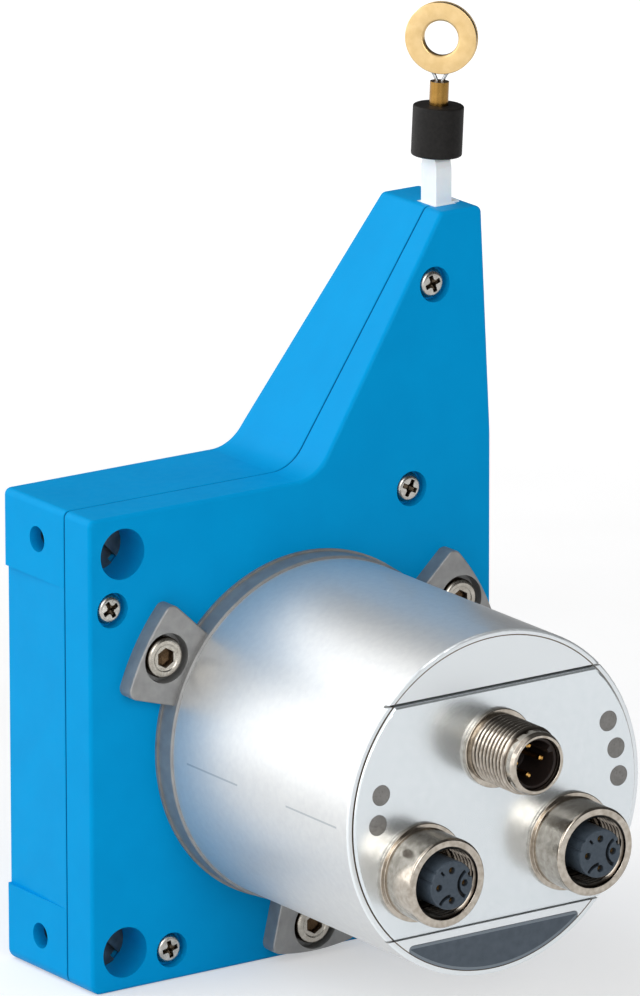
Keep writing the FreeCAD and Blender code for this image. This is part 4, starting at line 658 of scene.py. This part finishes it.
# Moats: centre x and z, radius, middle angle and half angle.
MOATS = ((3.9, -0.2, 2.5, 180.0, 62.0), (-0.3, -4.2, 2.4, 120.0, 30.0))
MOAT_HALF, MOAT_DEPTH = 0.27, 0.7
SLIT_X, SLIT_Z, SLIT_TURN = -1.84, 2.3, math.radians(-49.0)
SLIT_REACH, SLIT_HALF, SLIT_DEPTH = 0.45, 0.18, 0.6
PLUG_STEPS, EDGE_SHARE, FACE_SHARE, EDGE_DROP = 300, 0.95, 0.93, 0.2


def insert_outline(turn):
    """Radius of the insert: a circle with a key groove at 20 degrees and two fine ones."""
    angle = np.rad2deg(turn)
    return INSERT_RADIUS - sum(depth * step_down(np.abs(angle - at), half, 2.0)
                               for at, half, depth in SIDE_GROOVES)


def insert_depth(x, z):
    """Depth of the face: round holes, arcs of two rings and a slit, each with steep soft walls."""
    depth = 0 * x
    for turn in np.arange(4) * np.pi / 2:
        hole = np.hypot(x - CONTACT_REACH * math.cos(turn), z - CONTACT_REACH * math.sin(turn))
        depth = np.maximum(depth, CONTACT_DEPTH * step_down(hole, CONTACT_RADIUS, 0.1))
    for cx, cz, radius, middle, half in MOATS:
        ring_gap = np.abs(np.hypot(x - cx, z - cz) - radius)
        angle = np.abs(np.rad2deg(np.arctan2(z - cz, x - cx)) % 360 - middle)
        moat = MOAT_DEPTH * step_down(ring_gap, MOAT_HALF, 0.1) * step_down(angle, half, 3.0)
        depth = np.maximum(depth, moat)
    c, s = math.cos(SLIT_TURN), math.sin(SLIT_TURN)
    u = (x - SLIT_X) * c + (z - SLIT_Z) * s
    v = (z - SLIT_Z) * c - (x - SLIT_X) * s
    slit = step_down(np.abs(u), SLIT_REACH, 0.1) * step_down(np.abs(v), SLIT_HALF, 0.08)
    return np.maximum(depth, SLIT_DEPTH * slit)


def insert_plug(x, z):
    """Polar grid: rows out from the middle to a rounded edge and down the side, closed behind."""
    turn = around(PLUG_STEPS)
    share = np.linspace(0, 1, 76)[:, None]
    r = insert_outline(turn) * share
    bulge = ((share - EDGE_SHARE) / (1 - EDGE_SHARE)).clip(0, 1)
    edge = EDGE_DROP * (1 - np.sqrt(1 - bulge ** 2))
    px, pz = r * np.cos(turn), r * np.sin(turn)
    depth = insert_depth(px, pz) * (share < FACE_SHARE)
    face = np.stack([px, INSERT_FACE + edge + depth, pz], -1)
    rim = face[-1:]
    side = np.concatenate([rim * (1, 0, 1) + (0, y, 0) for y in (-81.0, -77.0, STEM_END)])
    centre = 0 * rim + (0, STEM_END, 0)
    grid = np.concatenate([face, side, centre]) + np.array([x, 0, z])
    mark = np.concatenate([depth, np.zeros((4, PLUG_STEPS))])
    return surface("plug", grid * mm, wrap_v=True, mark=np.clip(mark / 0.5, 0, 1))


# The same nylon in blue grey, with a near black painted shade down in its holes.
insert_blue = finish("glass_filled_nylon_grey", "#3A4550", "#46515C", 0.6, 0.2, 0.004, 0.46,
                     IOR=1.5, Specular_IOR_Level=0.35)
paint_shade(insert_blue, "#14171A")
plugs = joined("data_insert_plugs", [insert_plug(x, z) for x, z in DATA_SPOTS])
fitted(plugs, insert_blue, "dark_insert", "housing", "data_inserts")

# Inside the can: two circuit boards, etched and coated, and the code disc, which is cut from
# glass and rides on the encoder's shaft.
# Solder mask: an even dark green with a slight gloss.
dress(finish("green_solder_mask", "#145A32", "#1B6B3C", 1.0, 0.5, 0.01, 0.35, IOR=1.5),
      "sensor_board", "main_board")
# Polished glass: clear, with sharp reflections.
dress(finish("polished_disc_glass", "#DFE8E8", "#E8F0F0", 2.0, 2.0, 0.001, 0.04, IOR=1.5,
             Transmission_Weight=1.0),
      "code_disc")

# Studio: a pale paper floor under the housing, a white surround that metal and glass also see, a
# large soft box behind at the upper left and weak ones in front and at the left.
FLOOR_Z, FLOOR_REACH = cad_box[0].z, 0.8
GLOW_NEAR, GLOW_FAR, GLOW_START = 0.4, 0.7, 0.25
SURROUND_LIGHT, FLAG_FROM, FLAG_TO, FLAG_SHADE = 0.5, -0.25, 0.15, 0.08
LAMP_AIM = (0.04, -0.03, 0.02)
span = np.linspace(-FLOOR_REACH, FLOOR_REACH, 9)
u, v = np.meshgrid(span, span, indexing="ij")
floor = surface("studio_floor", np.stack([u, v, np.full_like(u, FLOOR_Z)], -1), closed=False)
# Matt paper: an even pale grey that takes a soft shadow, lit up for the camera and in reflections,
# more so far out, where the lamps are weak.
paper = finish("white_paper_sweep", "#D2D2D2", "#D6D6D6", 40.0, 2.0, 0.01, 0.9,
               Specular_IOR_Level=0.1)


def seen_ray(tree):
    """1 for rays from the camera, off metal or through glass, and 0 for those that light things."""
    path = add(tree, "LightPath")
    seen = add(tree, "Math", {0: path.outputs["Is Camera Ray"], 1: path.outputs["Is Glossy Ray"]},
               operation="MAXIMUM")
    return add(tree, "Math", {0: seen.outputs[0], 1: path.outputs["Is Transmission Ray"]},
               operation="MAXIMUM").outputs[0]


tree = paper.node_tree
away = add(tree, "VectorMath", {0: add(tree, "TexCoord").outputs["Object"]},
           operation="LENGTH").outputs["Value"]
edge_glow = add(tree, "MapRange", {"Value": away, "From Min": GLOW_START, "From Max": FLOOR_REACH,
                                   "To Min": GLOW_NEAR, "To Max": GLOW_FAR})
shine = add(tree, "Math", {0: seen_ray(tree), 1: edge_glow.outputs[0]}, operation="MULTIPLY")
glow = add(tree, "Emission", {"Strength": shine.outputs[0]})
lit = add(tree, "AddShader", {0: tree.nodes["Principled BSDF"].outputs[0], 1: glow.outputs[0]})
tree.links.new(lit.outputs[0], tree.nodes["Material Output"].inputs["Surface"])
floor.data.materials.append(paper)

world = bpy.data.worlds.new("studio")
bpy.context.scene.world = world
world.use_nodes = True
tree = world.node_tree
# A dark flag behind at the right, for rays off metal alone, shades the can's upper edge.
side = add(tree, "SeparateXYZ", {0: add(tree, "TexCoord").outputs["Generated"]}).outputs["X"]
flag = add(tree, "MapRange", {"Value": side, "From Min": FLAG_FROM, "From Max": FLAG_TO,
                              "To Min": 1.0, "To Max": FLAG_SHADE})
direct = add(tree, "LightPath").outputs["Is Camera Ray"]
shown = add(tree, "Math", {0: flag.outputs[0], 1: direct}, operation="MAXIMUM").outputs[0]
strength = add(tree, "MapRange", {"Value": seen_ray(tree), "To Min": SURROUND_LIGHT,
                                  "To Max": shown})
surround = tree.nodes["Background"]
surround.inputs["Color"].default_value = (1, 1, 1, 1)
tree.links.new(strength.outputs[0], surround.inputs["Strength"])


def soft_box(name, place, size, watts):
    """Square area lamp at a place in metres from the housing's middle, facing it."""
    data = bpy.data.lights.new(name, "AREA")
    data.size, data.energy = size, watts
    lamp = bpy.data.objects.new(name, data)
    lamp.location = Vector(LAMP_AIM) + Vector(place)
    lamp.rotation_euler = (-Vector(place)).to_track_quat("-Z", "Y").to_euler()
    bpy.context.scene.collection.objects.link(lamp)


soft_box("back_box", (-0.62, 0.60, 0.50), 1.5, 9.8)
soft_box("front_box", (-0.30, -1.05, 0.40), 0.6, 3.8)
soft_box("left_box", (-1.10, -0.25, 0.20), 0.8, 2.4)

# Camera: a long lens at the photograph's angle, aimed beside the tower. The shift brings the part
# to the same place in the frame.
AZIMUTH, ELEVATION, ROLL = math.radians(-34.76), math.radians(15.84), math.radians(-0.1)
CAMERA_AIM, CAMERA_DISTANCE = (47.92, -16.0, 39.66), 2.043
camera = bpy.data.objects.new("camera", bpy.data.cameras.new("camera"))
camera.data.lens, camera.data.sensor_width = 433.7, 36.0
camera.data.shift_x, camera.data.shift_y = -0.00343, -0.00739
camera.data.clip_start, camera.data.clip_end = 0.1, 20.0
back = Vector((math.sin(AZIMUTH) * math.cos(ELEVATION), -math.cos(AZIMUTH) * math.cos(ELEVATION),
               math.sin(ELEVATION)))
turn = (-back).to_track_quat("-Z", "Y").to_matrix().to_4x4() @ Matrix.Rotation(ROLL, 4, "Z")
place = Vector(CAMERA_AIM) * mm + back * CAMERA_DISTANCE
camera.matrix_world = Matrix.Translation(place) @ turn
bpy.context.scene.collection.objects.link(camera)
bpy.context.scene.camera = camera
bpy.context.scene.view_settings.view_transform = "Standard"
